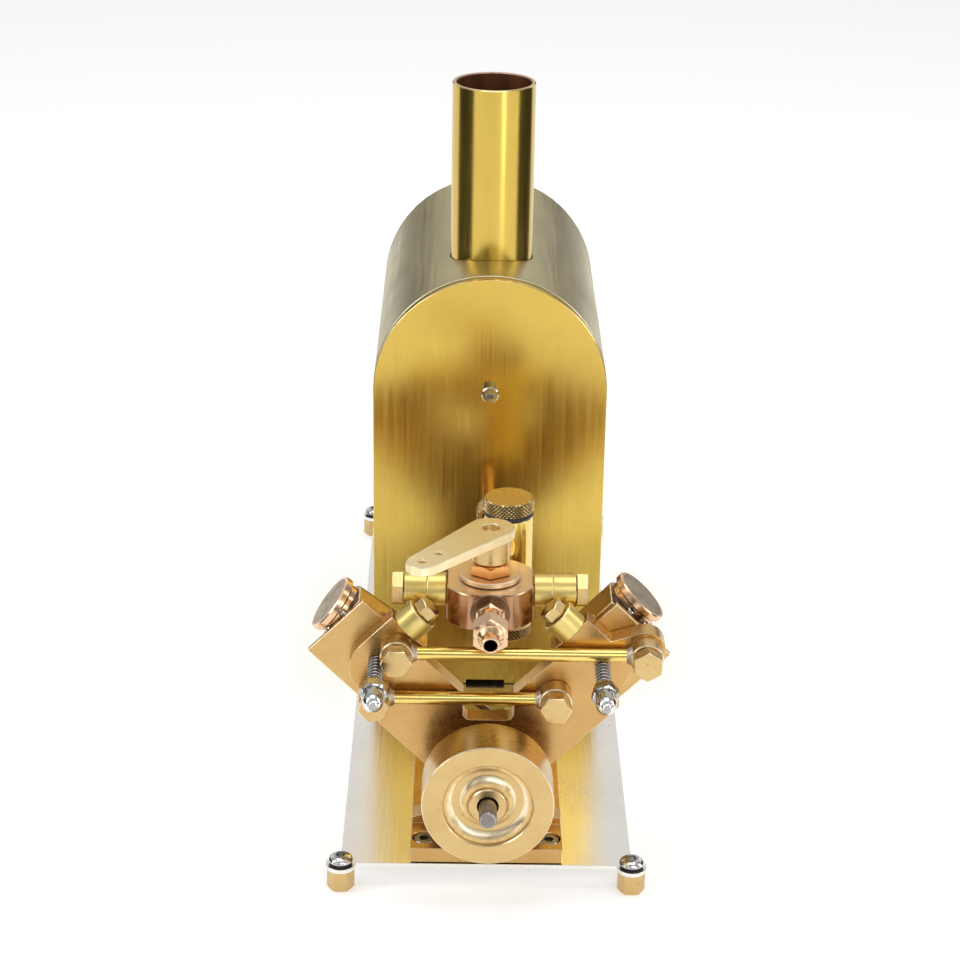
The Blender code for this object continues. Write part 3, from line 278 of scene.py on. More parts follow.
# %% Straight tool lines and lathe lines
def make_lines_group(name, from_attribute):
    """Noise squeezed into lines: along the stretch of object space, or round a turned piece."""
    group, given, result = new_group(
        name, [("Stretch", "NodeSocketVector", (1000.0, 1000.0, 40.0))], [("Height", "NodeSocketFloat")])
    if from_attribute:
        source = add_node(group, "ShaderNodeAttribute", attribute_name="turning").outputs["Vector"]
    else:
        source = add_node(group, "ShaderNodeTexCoord").outputs["Object"]
    scaled = add_node(group, "ShaderNodeVectorMath", {0: source, 1: given["Stretch"]}, operation="MULTIPLY")
    noise = add_node(group, "ShaderNodeTexNoise",
                     {"Vector": scaled.outputs[0], "Scale": 1.0, "Detail": 4.0, "Roughness": 0.7})
    group.links.new(noise.outputs["Fac"], result["Height"])
    return group


# %% Edges bright from wear and painted highlight, and specks
def make_wear_and_highlight_group():
    # The bright edge mask: partly wear, partly painted highlight on the chamfers.
    group, given, result = new_group("worn_and_highlit_edge", [("Amount", "NodeSocketFloat", 0.8)],
                                     [("Mask", "NodeSocketFloat")])
    edge = add_node(group, "ShaderNodeAttribute", attribute_name="worn_and_highlit")
    broken = map_range(group, object_noise(group, 500.0, 3.0), 0.30, 0.55, 0.35)
    both = math_node(group, "MULTIPLY", edge.outputs["Fac"], broken)
    group.links.new(math_node(group, "MULTIPLY", both, given["Amount"]), result["Mask"])
    return group


def make_speck_group():
    group, given, result = new_group(
        "specks", [("Size", "NodeSocketFloat", 1100.0), ("Rarity", "NodeSocketFloat", 0.70)],
        [("Mask", "NodeSocketFloat")])
    above = math_node(group, "SUBTRACT", object_noise(group, given["Size"], 2.0), given["Rarity"])
    group.links.new(map_range(group, above, 0.0, 0.03), result["Mask"])
    return group


TARNISH = make_tarnish_group()
STRAIGHT_LINES = make_lines_group("tool_lines", False)
LATHE_LINES = make_lines_group("lathe_lines", True)
WEAR_AND_HIGHLIGHT = make_wear_and_highlight_group()
SPECKS = make_speck_group()


# %% One function for every metal
def metal(name, colour, stain, roughness, stretch=(900, 900, 40), turned=False, stain_amount=0.5,
          stain_size=60.0, line_depth=6e-6, line_tone=0.10, edge=None, speck_rarity=0.74,
          speck_colour=(0.30, 0.18, 0.08), metallic=1.0):
    """A worn metal: tarnish patches, tool lines in tone, gloss and relief, bright edges (partly wear, partly
    painted highlight), specks, and painted shade in knurl grooves.
    """
    material = bpy.data.materials.new(name)
    material.use_nodes = True
    tree = material.node_tree
    shader = tree.nodes["Principled BSDF"]
    shader.inputs["Metallic"].default_value = metallic
    tarnish = add_node(tree, "ShaderNodeGroup", node_tree=TARNISH)
    tarnish.inputs["Colour"].default_value = (*colour, 1)
    tarnish.inputs["Stain"].default_value = (*stain, 1)
    tarnish.inputs["Amount"].default_value = stain_amount
    tarnish.inputs["Size"].default_value = stain_size
    lines = add_node(tree, "ShaderNodeGroup", node_tree=LATHE_LINES if turned else STRAIGHT_LINES)
    lines.inputs["Stretch"].default_value = stretch
    tone = map_range(tree, lines.outputs["Height"], 0.25, 0.75, 1.0 - line_tone, 1.0 + line_tone)
    shaded = add_node(tree, "ShaderNodeHueSaturation", {"Value": tone, "Color": tarnish.outputs["Colour"]})
    wear_and_highlight = add_node(tree, "ShaderNodeGroup", node_tree=WEAR_AND_HIGHLIGHT)
    # Edge colour: partly wear, partly a painted highlight along the chamfers.
    bright = edge or tuple(min(1.0, 0.35 + 0.75 * part) for part in colour)
    worn_and_highlit = mix_colour(tree, wear_and_highlight.outputs["Mask"], shaded.outputs["Color"], (*bright, 1))
    specks = add_node(tree, "ShaderNodeGroup", node_tree=SPECKS)
    specks.inputs["Rarity"].default_value = speck_rarity
    marked = mix_colour(tree, specks.outputs["Mask"], worn_and_highlit, (*speck_colour, 1))
    if turned:
        # Painted shade: the grooves of a knurl are darkened to 0.22 of the colour.
        turning = add_node(tree, "ShaderNodeAttribute", attribute_name="turning")
        groove = add_node(tree, "ShaderNodeSeparateXYZ", {0: turning.outputs["Vector"]})
        groove_shade_colour = tuple(0.22 * part for part in colour)
        marked = mix_colour(tree, groove.outputs["Z"], marked, (*groove_shade_colour, 1))
    tree.links.new(marked, shader.inputs["Base Color"])
    gloss = map_range(tree, lines.outputs["Height"], 0.3, 0.7, *roughness)
    patch = math_node(tree, "MULTIPLY_ADD", tarnish.outputs["Mask"], 0.12, gloss)
    tree.links.new(patch, shader.inputs["Roughness"])
    bump = add_node(tree, "ShaderNodeBump", {"Height": lines.outputs["Height"], "Strength": 1.0,
                                             "Distance": line_depth})
    tree.links.new(bump.outputs[0], shader.inputs["Normal"])
    return material


# %% The finishes
LATHE = {"stretch": (2600.0, 2600.0, 0.0), "turned": True}
# Each edge colour below is the bright edge: partly wear, partly painted highlight.
FINISH = {
    "casing": metal(
        "casing_brass", (0.68, 0.48, 0.10), (0.58, 0.39, 0.10), (0.14, 0.24), stretch=(1300, 1300, 30),
        stain_size=28, stain_amount=0.45, line_tone=0.05, line_depth=4e-6, speck_rarity=0.77),
    "roof": metal(
        "roof_brass", (0.56, 0.48, 0.25), (0.42, 0.38, 0.24), (0.26, 0.42), stretch=(700, 22, 700),
        stain_size=34, stain_amount=0.75, line_tone=0.10, speck_rarity=0.74),
    "bright": metal(
        "bright_brass", (0.84, 0.64, 0.20), (0.70, 0.50, 0.16), (0.10, 0.20), **LATHE, stain_size=120,
        stain_amount=0.4, line_tone=0.06),
    "machined": metal(
        "machined_brass", (0.64, 0.43, 0.17), (0.56, 0.33, 0.12), (0.26, 0.38), stretch=(60, 900, 1500),
        stain_size=85, stain_amount=0.6, line_tone=0.07, edge=(1.0, 0.88, 0.66)),
    "golden": metal(
        "golden_brass", (0.60, 0.37, 0.14), (0.50, 0.28, 0.09), (0.22, 0.32), stretch=(420, 420, 420),
        stain_size=75, stain_amount=0.5, line_tone=0.03, edge=(1.0, 0.86, 0.60)),
    "satin": metal(
        "satin_brass", (0.80, 0.63, 0.22), (0.66, 0.52, 0.18), (0.28, 0.42), **LATHE, stain_size=130,
        stain_amount=0.6, line_tone=0.08),
    "orange": metal(
        "orange_copper", (0.82, 0.42, 0.14), (0.60, 0.26, 0.09), (0.16, 0.26), **LATHE, stain_size=150,
        stain_amount=0.5, line_tone=0.06, edge=(1.0, 0.72, 0.42)),
    # Black for the sheet on each cylinder block's end and for the nipple's bore: painted shade.
    "black": metal(
        "painted_shade_black", (0.045, 0.030, 0.022), (0.12, 0.08, 0.06), (0.30, 0.45), stretch=(900, 900, 900),
        stain_size=500, stain_amount=0.7),
    "turned": metal(
        "turned_brass", (0.66, 0.47, 0.21), (0.56, 0.36, 0.14), (0.22, 0.34), **LATHE, stain_size=110,
        stain_amount=0.5, line_tone=0.04, edge=(1.0, 0.88, 0.64)),
    "pale": metal(
        "pale_brass", (0.94, 0.79, 0.48), (0.86, 0.66, 0.36), (0.30, 0.42), stretch=(700, 700, 700),
        stain_size=240, stain_amount=0.5, line_tone=0.04, speck_rarity=0.79),
    "pinkish": metal(
        "pinkish_brass", (0.88, 0.68, 0.47), (0.76, 0.50, 0.30), (0.30, 0.44), **LATHE, stain_size=120,
        stain_amount=0.5, line_tone=0.05, edge=(1.0, 0.88, 0.70)),
    # Dark brown for the disc round the nipple's base: painted shade.
    "shade_brown": metal(
        "painted_shade_brown", (0.22, 0.13, 0.075), (0.10, 0.06, 0.04), (0.28, 0.42), stretch=(900, 900, 900),
        stain_size=300, stain_amount=0.7),
    "rosy": metal(
        "rosy_brass", (0.80, 0.54, 0.32), (0.66, 0.38, 0.20), (0.14, 0.26), **LATHE, stain_size=110,
        stain_amount=0.55, line_tone=0.08, edge=(0.98, 0.74, 0.50)),
    "cap_face": metal(
        "brushed_cap", (0.50, 0.39, 0.25), (0.30, 0.21, 0.13), (0.26, 0.42), stretch=(180, 1300, 1300),
        stain_size=220, stain_amount=0.9, line_tone=0.35, line_depth=1.2e-5, edge=(0.95, 0.68, 0.42)),
    "steel": metal(
        "bright_steel", (0.44, 0.43, 0.41), (0.30, 0.28, 0.26), (0.07, 0.16), **LATHE, stain_size=260,
        stain_amount=0.4, line_tone=0.08, edge=(0.95, 0.95, 0.94)),
    "plate": metal(
        "plate_steel", (0.86, 0.84, 0.80), (0.78, 0.75, 0.69), (0.16, 0.26), stretch=(1500, 18, 1500),
        stain_size=45, stain_amount=0.5, line_tone=0.04, line_depth=3e-6, edge=(0.62, 0.60, 0.57),
        speck_rarity=0.77),
    # Dull steel for the crankshaft and foot bolts. It is rougher than bright steel, and its dark grey is partly
    # painted shade.
    "shaft": metal(
        "dull_shaded_shaft", (0.28, 0.26, 0.24), (0.18, 0.15, 0.13), (0.22, 0.36), stretch=(900, 900, 900),
        stain_size=300, stain_amount=0.6),
    "valve": metal(
        "valve_copper", (0.46, 0.25, 0.13), (0.34, 0.16, 0.08), (0.14, 0.26), **LATHE, stain_size=110,
        stain_amount=0.55, line_tone=0.08, edge=(0.98, 0.74, 0.50)),
    "spring": metal(
        "spring_steel", (0.40, 0.38, 0.36), (0.22, 0.20, 0.18), (0.16, 0.28), stretch=(900, 900, 900),
        stain_size=400, stain_amount=0.6),
    "solder": metal(
        "silver_solder", (0.62, 0.55, 0.47), (0.44, 0.34, 0.26), (0.30, 0.48), stretch=(900, 900, 900),
        stain_size=700, stain_amount=0.8, line_depth=3e-5),
    # A dark brown for the chimney's inner faces.
    "dark_bore": metal(
        "dark_bore_brass", (0.30, 0.12, 0.045), (0.10, 0.05, 0.03), (0.40, 0.62), stretch=(300, 300, 40),
        stain_size=70, stain_amount=0.8, line_tone=0.15),
    "boiler": metal(
        "boiler_copper", (0.66, 0.36, 0.22), (0.32, 0.18, 0.12), (0.30, 0.48), stretch=(500, 30, 500),
        stain_size=40, stain_amount=0.7),
}


def make_rubber():
    """Black rubber with a faint moulded grain."""
    material = bpy.data.materials.new("seal_rubber")
    material.use_nodes = True
    tree = material.node_tree
    shader = tree.nodes["Principled BSDF"]
    noise = object_noise(tree, 1800.0, 3.0)
    tone = mix_colour(tree, noise, (0.010, 0.010, 0.011, 1), (0.035, 0.034, 0.033, 1))
    tree.links.new(tone, shader.inputs["Base Color"])
    tree.links.new(map_range(tree, noise, 0.0, 1.0, 0.45, 0.70), shader.inputs["Roughness"])
    bump = add_node(tree, "ShaderNodeBump", {"Height": noise, "Distance": 1e-5})
    tree.links.new(bump.outputs[0], shader.inputs["Normal"])
    return material


FINISH["rubber"] = make_rubber()
print(f"{len(FINISH)} finishes")

# %% [markdown]
# ## Shaping helpers
# Most pieces of a steam engine come off a lathe, so most of this file is half sections spun about
# an axis. A hexagon is the same spin with its rim pushed out onto six flats, and the cone that a
# lathe cuts over a bolt head then gives the real curved chamfer for nothing. The other pieces are
# flat plates: an outline, pushed through and given a small chamfer.


# %% Spin a half section
def spin_section(points, steps=72, closed=False):
    """Spin (radius, height) points about Z.

    A third value of hex makes the radius half the size across flats, and a fourth is how far the
    rim drops for each unit that a corner sticks out. A third value of knurl raises every second
    point, and moves on by one in each row.
    """
    bm = bmesh.new()
    row = bm.verts.layers.int.new("row")
    groove = bm.verts.layers.float.new("groove")
    verts = []
    for number, point in enumerate(points):
        vert = bm.verts.new((point[0], 0, point[1]))
        vert[row] = number
        verts.append(vert)
    edges = [bm.edges.new(pair) for pair in zip(verts, verts[1:])]
    if closed:
        edges.append(bm.edges.new((verts[-1], verts[0])))
    bmesh.ops.spin(bm, geom=verts + edges, axis=(0, 0, 1), cent=(0, 0, 0), steps=steps,
                   angle=math.tau, use_merge=True)
    bmesh.ops.remove_doubles(bm, verts=bm.verts, dist=1e-7)
    for vert in bm.verts:
        point = points[vert[row]]
        if len(point) > 2:
            vert[groove] = shape_rim(vert, point, vert[row], steps)
    if any(len(point) > 2 and point[2] == "knurl" for point in points):
        split_knurl(bm)
    note_turning(bm)
    return bm


def split_knurl(bm):
    """Crease each face of a knurl between its two low corners, so that the high ones are peaks."""
    for face in list(bm.faces):
        reach = sorted(face.verts, key=lambda vert: vert.co.xy.length)
        if len(reach) == 4 and reach[2].co.xy.length - reach[1].co.xy.length > 0.05 * MM:
            corners = list(face.verts)
            if abs(corners.index(reach[0]) - corners.index(reach[1])) == 2:
                bmesh.utils.face_split(face, reach[0], reach[1])


def shape_rim(vert, point, row_number, steps):
    """Move a point of a spun section onto a hexagon, flats or a knurl; says how sunk it is."""
    radius, height, shape = point[:3]
    sunk = 0.0
    angle = math.atan2(vert.co.y, vert.co.x)
    if shape == "hex":
        reach = radius / math.cos(angle % (math.pi / 3) - math.pi / 6)
        slope = point[3] if len(point) > 3 else 0.0
        vert.co.z = height - (reach - radius) * slope
    elif shape == "flats":
        reach = min(radius, point[3] / max(abs(math.cos(angle)), abs(math.sin(angle))))
    else:
        sunk = float((round(angle / math.tau * steps) + row_number) % 2)
        reach = radius - point[3] * sunk
    vert.co.x = reach * math.cos(angle)
    vert.co.y = reach * math.sin(angle)
    return sunk


def note_turning(bm):
    """Keep each point's radius, height and groove (the groove carries painted shade in a knurl), and mark the
    narrow chamfers for the bright edge, partly wear and partly painted highlight.
    """
    turning = bm.verts.layers.float_vector.new("turning")
    groove = bm.verts.layers.float.get("groove")
    for vert in bm.verts:
        vert[turning] = (vert.co.xy.length, vert.co.z, vert[groove] if groove else 0.0)
    worn_and_highlit = bm.faces.layers.float.new("worn_and_highlit")
    for face in bm.faces:
        radii = [vert.co.xy.length for vert in face.verts]
        heights = [vert.co.z for vert in face.verts]
        wide = math.hypot(max(radii) - min(radii), max(heights) - min(heights))
        slanted = min(max(radii) - min(radii), max(heights) - min(heights)) > 0.3 * wide
        face[worn_and_highlit] = float(wide < 0.45 * MM and slanted)


# %% Place, flat plates and refined copies
def place(bm, origin, axis=ALONG_Z, turn=0.0):
    """Turn a shape made about Z onto its axis, and move it to its origin."""
    rotation = ALONG_Z.rotation_difference(axis).to_matrix() @ Matrix.Rotation(turn, 3, "Z")
    bmesh.ops.transform(bm, matrix=Matrix.Translation(origin) @ rotation.to_4x4(), verts=bm.verts)
    return bm


def chamfer(bm, width, sharpest=30):
    """Cut a small flat along every hard edge, and mark it for the bright edge: partly wear, partly painted
    highlight.
    """
    worn_and_highlit = bm.faces.layers.float.get("worn_and_highlit") or bm.faces.layers.float.new("worn_and_highlit")
    limit = math.radians(sharpest)
    hard = [edge for edge in bm.edges if edge.is_manifold and edge.calc_face_angle() > limit]
    made = bmesh.ops.bevel(bm, geom=hard, offset=width, affect="EDGES", segments=1, profile=0.5,
                           material=-1, clamp_overlap=True)
    for face in made["faces"]:
        face[worn_and_highlit] = 1.0


def push_through(outline, low, high, width=0.15 * MM):
    """A plate from an (x, y) outline, between two heights along Z, with chamfered rims."""
    bm = bmesh.new()
    face = bm.faces.new([bm.verts.new((x, y, low)) for x, y in outline])
    moved = bmesh.ops.extrude_face_region(bm, geom=[face])["geom"]
    top = [item for item in moved if isinstance(item, bmesh.types.BMVert)]
    bmesh.ops.translate(bm, verts=top, vec=(0, 0, high - low))
    bmesh.ops.recalc_face_normals(bm, faces=bm.faces)
    if width:
        chamfer(bm, width)
    return bm


def refined(node, width):
    """A merged copy of a CAD node, with its flat faces joined up and its hard edges chamfered."""
    bm = bmesh.new()
    bm.from_mesh(frame["nodes"][node].data)
    bmesh.ops.remove_doubles(bm, verts=bm.verts, dist=1e-6)
    bmesh.ops.dissolve_limit(bm, angle_limit=math.radians(0.5), verts=bm.verts, edges=bm.edges)
    chamfer(bm, width)
    return bm


def arc(radius, start, end, steps, centre=(0.0, 0.0)):
    """Points round a circle, between two angles in degrees."""
    angles = [math.radians(start + (end - start) * step / steps) for step in range(steps + 1)]
    return [(centre[0] + radius * math.cos(a), centre[1] + radius * math.sin(a)) for a in angles]


# %% Put a piece in the scene
def show(bm, name, finish, node=None, body=None, crease=25):
    """Make the object, ride it on its body, and let it stand for its CAD node."""
    bmesh.ops.recalc_face_normals(bm, faces=bm.faces)
    mesh = bpy.data.meshes.new(name)
    bm.to_mesh(mesh)
    bm.free()
    mesh.shade_smooth()
    mesh.set_sharp_from_angle(angle=math.radians(crease))
    mesh.materials.append(FINISH[finish])
    piece = bpy.data.objects.new(name, mesh)
    bpy.context.collection.objects.link(piece)
    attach(piece, body or BODY_OF[node])
    if node:
        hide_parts(node)
    return piece


def carve(piece, cutter):
    """Cut one mesh out of another, and keep only the result."""
    tool_mesh = bpy.data.meshes.new("cutter")
    bmesh.ops.recalc_face_normals(cutter, faces=cutter.faces)
    cutter.to_mesh(tool_mesh)
    cutter.free()
    tool = bpy.data.objects.new("cutter", tool_mesh)
    bpy.context.collection.objects.link(tool)
    modifier = piece.modifiers.new("carve", "BOOLEAN")
    modifier.operation = "DIFFERENCE"
    modifier.solver = "EXACT"
    modifier.object = tool
    bpy.context.view_layer.update()
    shaped = piece.evaluated_get(bpy.context.evaluated_depsgraph_get())
    mesh = bpy.data.meshes.new_from_object(shaped)
    piece.modifiers.clear()
    old = piece.data
    piece.data = mesh
    bpy.data.meshes.remove(old)
    bpy.data.objects.remove(tool)
    mesh.set_sharp_from_angle(angle=math.radians(25))


def middle(node):
    low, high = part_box(node)
    return (low + high) / 2


def size_of(node):
    low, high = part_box(node)
    return high - low


def base_of(node):
    """The middle of a node's underside."""
    spot = middle(node)
    spot.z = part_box(node)[0].z
    return spot


def show_spun(points, steps, spot, name, finish, node=None, body=None, axis=ALONG_Z, turn=0.0,
              closed=False):
    """Spin a half section, stand it on its axis at a spot, and show it."""
    return show(place(spin_section(points, steps, closed), spot, axis, turn), name, finish, node, body)


# %% Common turned shapes
HEX_SLOPE = math.tan(math.radians(30))


def hex_points(flats, low, high, both_ends=False):
    """A hexagonal bar whose outer end, or both ends, have the lathe's cone."""
    half = flats / 2
    cone = 0.35
    start = [(0, low), (half, low, "hex")]
    if both_ends:
        start = [(0, low), (half * 0.95, low, "hex", -cone), (half, low + 0.12 * MM, "hex", -cone)]
    return start + [(half, high - 0.10 * MM, "hex", cone), (half * 0.95, high + 0.02 * MM, "hex", cone),
                    (half * 0.80, high), (0, high)]


def bar_points(radius, low, high, edge=0.15 * MM):
    """A round bar with a small chamfer at both ends."""
    return [(0, low), (radius - edge, low), (radius, low + edge), (radius, high - edge),
            (radius - edge, high), (0, high)]


def socket_points(radius, low, high, flats, edge=0.22 * MM):
    """A cylindrical screw head with a hexagonal socket."""
    floor = low + 0.35 * (high - low)
    return [(0, floor), (flats / 2, floor, "hex"), (flats / 2, high, "hex"), (radius - edge, high),
            (radius, high - edge), (radius, low), (0, low)]


def hoop(radius, thickness, height, steps=72):
    """A round ring of round section, such as a rubber seal."""
    section = [(radius + x, height + z) for x, z in arc(thickness / 2, 0, 330, 11)]
    return spin_section(section, steps, closed=True)


# %% [markdown]
# ## Base plate, feet and corner screws
# The plate is a sheet of satin steel with a round lobe at each corner. A button-head screw goes
# through each lobe, over a black rubber ring, into a hexagonal brass pillar. The plate is a copy of
# the CAD solid with softened edges, and the rest is turned.

# %% Base
show(refined("base_plate", 0.10 * MM), "base_sheet", "plate", "base_plate")
BUTTON_SOCKET = 2.0 * MM
SCREW_SOCKET = 2.0 * MM
SEAL = 0.8 * MM


def button_points(radius, height, shank, depth):
    """A domed screw head with a hexagonal socket, from the socket floor out to the shank's end."""
    half = BUTTON_SOCKET / 2
    dome = [(radius * math.sin(math.radians(a)), height * math.cos(math.radians(a)))
            for a in range(34, 88, 6)]
    return ([(0, height * 0.35), (half, height * 0.35, "hex"), (half, height * 0.87, "hex")] + dome
            + [(radius, 0), (shank, 0), (shank, -depth), (0, -depth)])


for corner in ("front_left", "front_right", "rear_left", "rear_right"):
    foot = f"foot_{corner}"
    low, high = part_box(foot)
    flats = high.y - low.y
    pillar = hex_points(flats, 0, high.z - low.z, both_ends=True)
    spot = base_of(foot)
    show_spun(pillar, 48, spot, f"pillar_{corner}", "turned", foot)
    screw = f"foot_screw_{corner}"
    low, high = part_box(screw)
    plate_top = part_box("base_plate")[1].z
    head_height = high.z - plate_top - SEAL
    spot = Vector((middle(screw).x, middle(screw).y, plate_top + SEAL))
    section = button_points((high.x - low.x) / 2, head_height, 1.5 * MM, SEAL * 0.9)
    show_spun(section, 48, spot, f"button_{corner}", "steel", screw)
    ring = place(hoop(2.15 * MM, SEAL * 1.15, SEAL * 0.52), Vector((spot.x, spot.y, plate_top)))
    show(ring, f"seal_{corner}", "rubber", body=BODY_OF[screw])
print("base, feet and screws made")

# %% [markdown]
# ## Boiler casing and chimney
# The casing is polished brass sheet: an arched front plate, side walls in one piece with the rear,
# and a duller roof sheet rolled over them. The chimney is a plain tube. Its inner faces get a
# darker brown finish of their own. The arch is drawn with a fine arc here,
# because its edge is the longest curve on the model and every facet would show.

# %% Front plate
SHEET = 1.0 * MM


def upright(bm):
    """Stand a plate that was drawn in (x, height) upright, facing along Y."""
    bmesh.ops.rotate(bm, verts=bm.verts, matrix=Matrix.Rotation(math.pi / 2, 3, "X"))
    return bm


def make_front_plate():
    low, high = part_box("casing_front")
    radius = (high.x - low.x) / 2
    spring = high.z - radius
    slot = 5.0 * MM
    rise = 1.0 * MM
    outline = [(-radius, low.z), (-slot, low.z), (-slot, low.z + rise), (slot, low.z + rise),
               (slot, low.z), (radius, low.z)]
    outline += arc(radius, 0, 180, 96, (0, spring))
    bm = upright(push_through(outline, -high.y, -low.y, 0.10 * MM))
    return show(bm, "arched_front", "casing", "casing_front")


def make_roof():
    low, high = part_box("casing_roof")
    radius = (high.x - low.x) / 2
    spring = (0, high.z - radius)
    outline = arc(radius, 0, 180, 96, spring) + arc(radius - SHEET, 180, 0, 96, spring)
    bm = upright(push_through(outline, -high.y, -low.y, 0.15 * MM))
    roof = show(bm, "rolled_roof", "roof", "casing_roof")
    for node, inset in (("chimney", -0.2 * MM), ("safety_valve", 2.0 * MM)):
        hole = spin_section(bar_points(size_of(node).x / 2 - inset, 0, 0.03), 72)
        spot = middle(node)
        carve(roof, place(hole, Vector((spot.x, spot.y, high.z - 0.015))))
    return roof


make_front_plate()
make_roof()
show(refined("casing_body", 0.12 * MM), "folded_walls", "casing", "casing_body")


# %% Chimney
def make_chimney():
    low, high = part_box("chimney")
    outer = (high.x - low.x) / 2
    inner = outer - SHEET
    lip = 0.2 * MM
    points = [(inner, low.z), (outer, low.z), (outer, high.z - lip), (outer - lip, high.z),
              (inner + lip, high.z), (inner, high.z - lip)]
    bm = place(spin_section(points, 96, closed=True), Vector((middle("chimney").x, middle("chimney").y, 0)))
    piece = show(bm, "chimney_tube", "casing", "chimney")
    # The chimney's inner faces take the dark brown finish.
    piece.data.materials.append(FINISH["dark_bore"])
    axis = middle("chimney")
    for face in piece.data.polygons:
        outward = (face.center - axis).xy.normalized()
        if face.normal.xy.dot(outward) < -0.5:
            face.material_index = 1


make_chimney()


# %% Screw, safety valve, and what is inside
def make_casing_screw():
    low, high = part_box("casing_screw")
    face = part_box("casing_front")[0].y
    radius = (high.x - low.x) / 2
    section = socket_points(radius, 0, face - low.y, SCREW_SOCKET)
    bm = place(spin_section(section, 48), Vector((0, face, middle("casing_screw").z)), -ALONG_Y)
    show(bm, "front_screw", "steel", "casing_screw")


def make_safety_valve():
    low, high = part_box("safety_valve")
    radius = (high.x - low.x) / 2
    roof_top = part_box("casing_roof")[1].z
    section = [(0, -3 * MM), (radius * 0.5, -3 * MM), (radius * 0.5, 0.2 * MM)]
    section += [(radius * 0.94, 0.2 * MM), (radius * 0.86, 0.3 * MM, "hex", -0.5),
                (radius * 0.86, 3.8 * MM, "hex", 0.5), (radius * 0.82, 4.0 * MM)]
    section += [(radius * 0.6, 4.2 * MM), (radius * 0.6, 6.7 * MM), (radius * 0.5, 7.0 * MM),
                (radius * 0.3, 7.1 * MM), (radius * 0.3, 8.4 * MM), (radius * 0.2, 9.0 * MM), (0, 9.0 * MM)]
    spot = Vector((middle("safety_valve").x, middle("safety_valve").y, roof_top))
    show_spun(section, 48, spot, "relief_valve", "turned", "safety_valve")


make_casing_screw()
make_safety_valve()
show(refined("burner_tray", 0.12 * MM), "spirit_tray", "roof", "burner_tray")
for material_slot in frame["nodes"]["boiler_drum"].material_slots:
    material_slot.material = FINISH["boiler"]
print("casing made")

# %% [markdown]
# ## Engine frame
# One milled brass plate stands on a foot block and spreads into two arms. Its shape is right in
# CAD, so a merged copy is enough. The cut that matters is the small bright chamfer round every
# edge, which is what the eye reads as machined metal.

# %% Frame, port plates and crank
FOOT_BOLT_HEAD = 1.8 * MM
show(refined("frame", 0.25 * MM), "milled_frame", "golden", "frame")
for side, sign in SIDES:
    show(refined(f"port_plate_{side}", 0.15 * MM), f"port_face_{side}", "machined", f"port_plate_{side}")
show(refined("crankshaft", 0.12 * MM), "shaft_and_crank", "shaft", "crankshaft")
for side, sign in SIDES:
    node = f"frame_screw_{side}"
    low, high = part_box(node)
    section = socket_points((high.x - low.x) / 2, 0, FOOT_BOLT_HEAD, SCREW_SOCKET)
    spot = Vector((middle(node).x, middle(node).y, high.z - FOOT_BOLT_HEAD))
    show_spun(section, 48, spot, f"foot_bolt_{side}", "shaft", node)


def make_bearing():
    low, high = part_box("bearing")
    flange = (high.x - low.x) / 2
    body = flange - 1.0 * MM
    bore = 2.1 * MM
    length = high.y - low.y
    step = 7.0 * MM
    section = [(bore, 0), (flange - 0.2 * MM, 0), (flange, 0.2 * MM), (flange, step), (body, step),
               (body, length), (bore, length)]
    spot = Vector((0, low.y, middle("bearing").z))
    show_spun(section, 64, spot, "shaft_bush", "turned", "bearing", axis=ALONG_Y, closed=True)


make_bearing()


# %% Flywheel
def make_flywheel():
    """A solid brass wheel: flat rim face, smooth round hollow, small hub round the shaft."""
    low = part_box("flywheel")[0]
    radius = size_of("flywheel").x / 2
    width = size_of("flywheel").y
    bore = 2.25 * MM
    hub = 4.2 * MM
    rim = 10.1 * MM
    depth = 3.0 * MM
    edge = 0.22 * MM
    centre = (rim + hub) / 2
    half = (rim - hub) / 2
    hollow = [(centre - half * math.cos(math.radians(a)), depth * math.sin(math.radians(a)))
              for a in range(6, 175, 6)]
    section = [(bore, 0.5 * MM), (bore + 0.2 * MM, 0), (hub - edge, 0)] + hollow + [(rim + edge, 0)]
    section += [(radius - edge, 0), (radius, edge), (radius, width - edge), (radius - edge, width),
                (bore, width)]
    spot = Vector((0, low.y, middle("flywheel").z))
    show_spun(section, 144, spot, "turned_flywheel", "turned", "flywheel", axis=ALONG_Y, closed=True)


make_flywheel()
print("frame and flywheel made")

# %% [markdown]
# ## Cylinders
# Each cylinder rocks on its stud, so it is made upright about its own pivot and then leaned by the
# angle that its slide joint gives. Its Z runs out along the bore and its Y is the pivot. The coil
# spring is a small circle spun with a rise, which is all that a spring is.


# %% The leaning frame of each cylinder
def cylinder_matrix(side):
    """From a cylinder's own frame, pivot at the origin and bore along Z, to the model's."""
    along = JOINTS[f"piston_{side}_slide"]["axis"]
    angle = math.atan2(along[0], along[2])
    pivot = Vector(JOINTS[f"cylinder_{side}_swing"]["pos_m"])
    face = Vector((pivot.x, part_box(f"cylinder_{side}")[0].y, pivot.z))
    return Matrix.Translation(face) @ Matrix.Rotation(angle, 4, "Y")


def lean(bm, side):
    bmesh.ops.transform(bm, matrix=cylinder_matrix(side), verts=bm.verts)
    return bm


BLOCK_HALF = 6.9 * MM
BLOCK_INNER = -9.0 * MM
BLOCK_OUTER = 10.4 * MM
CAP_END = 14.0 * MM
CAP_PLATE = 1.8 * MM
CAP_NECK = 6.1 * MM


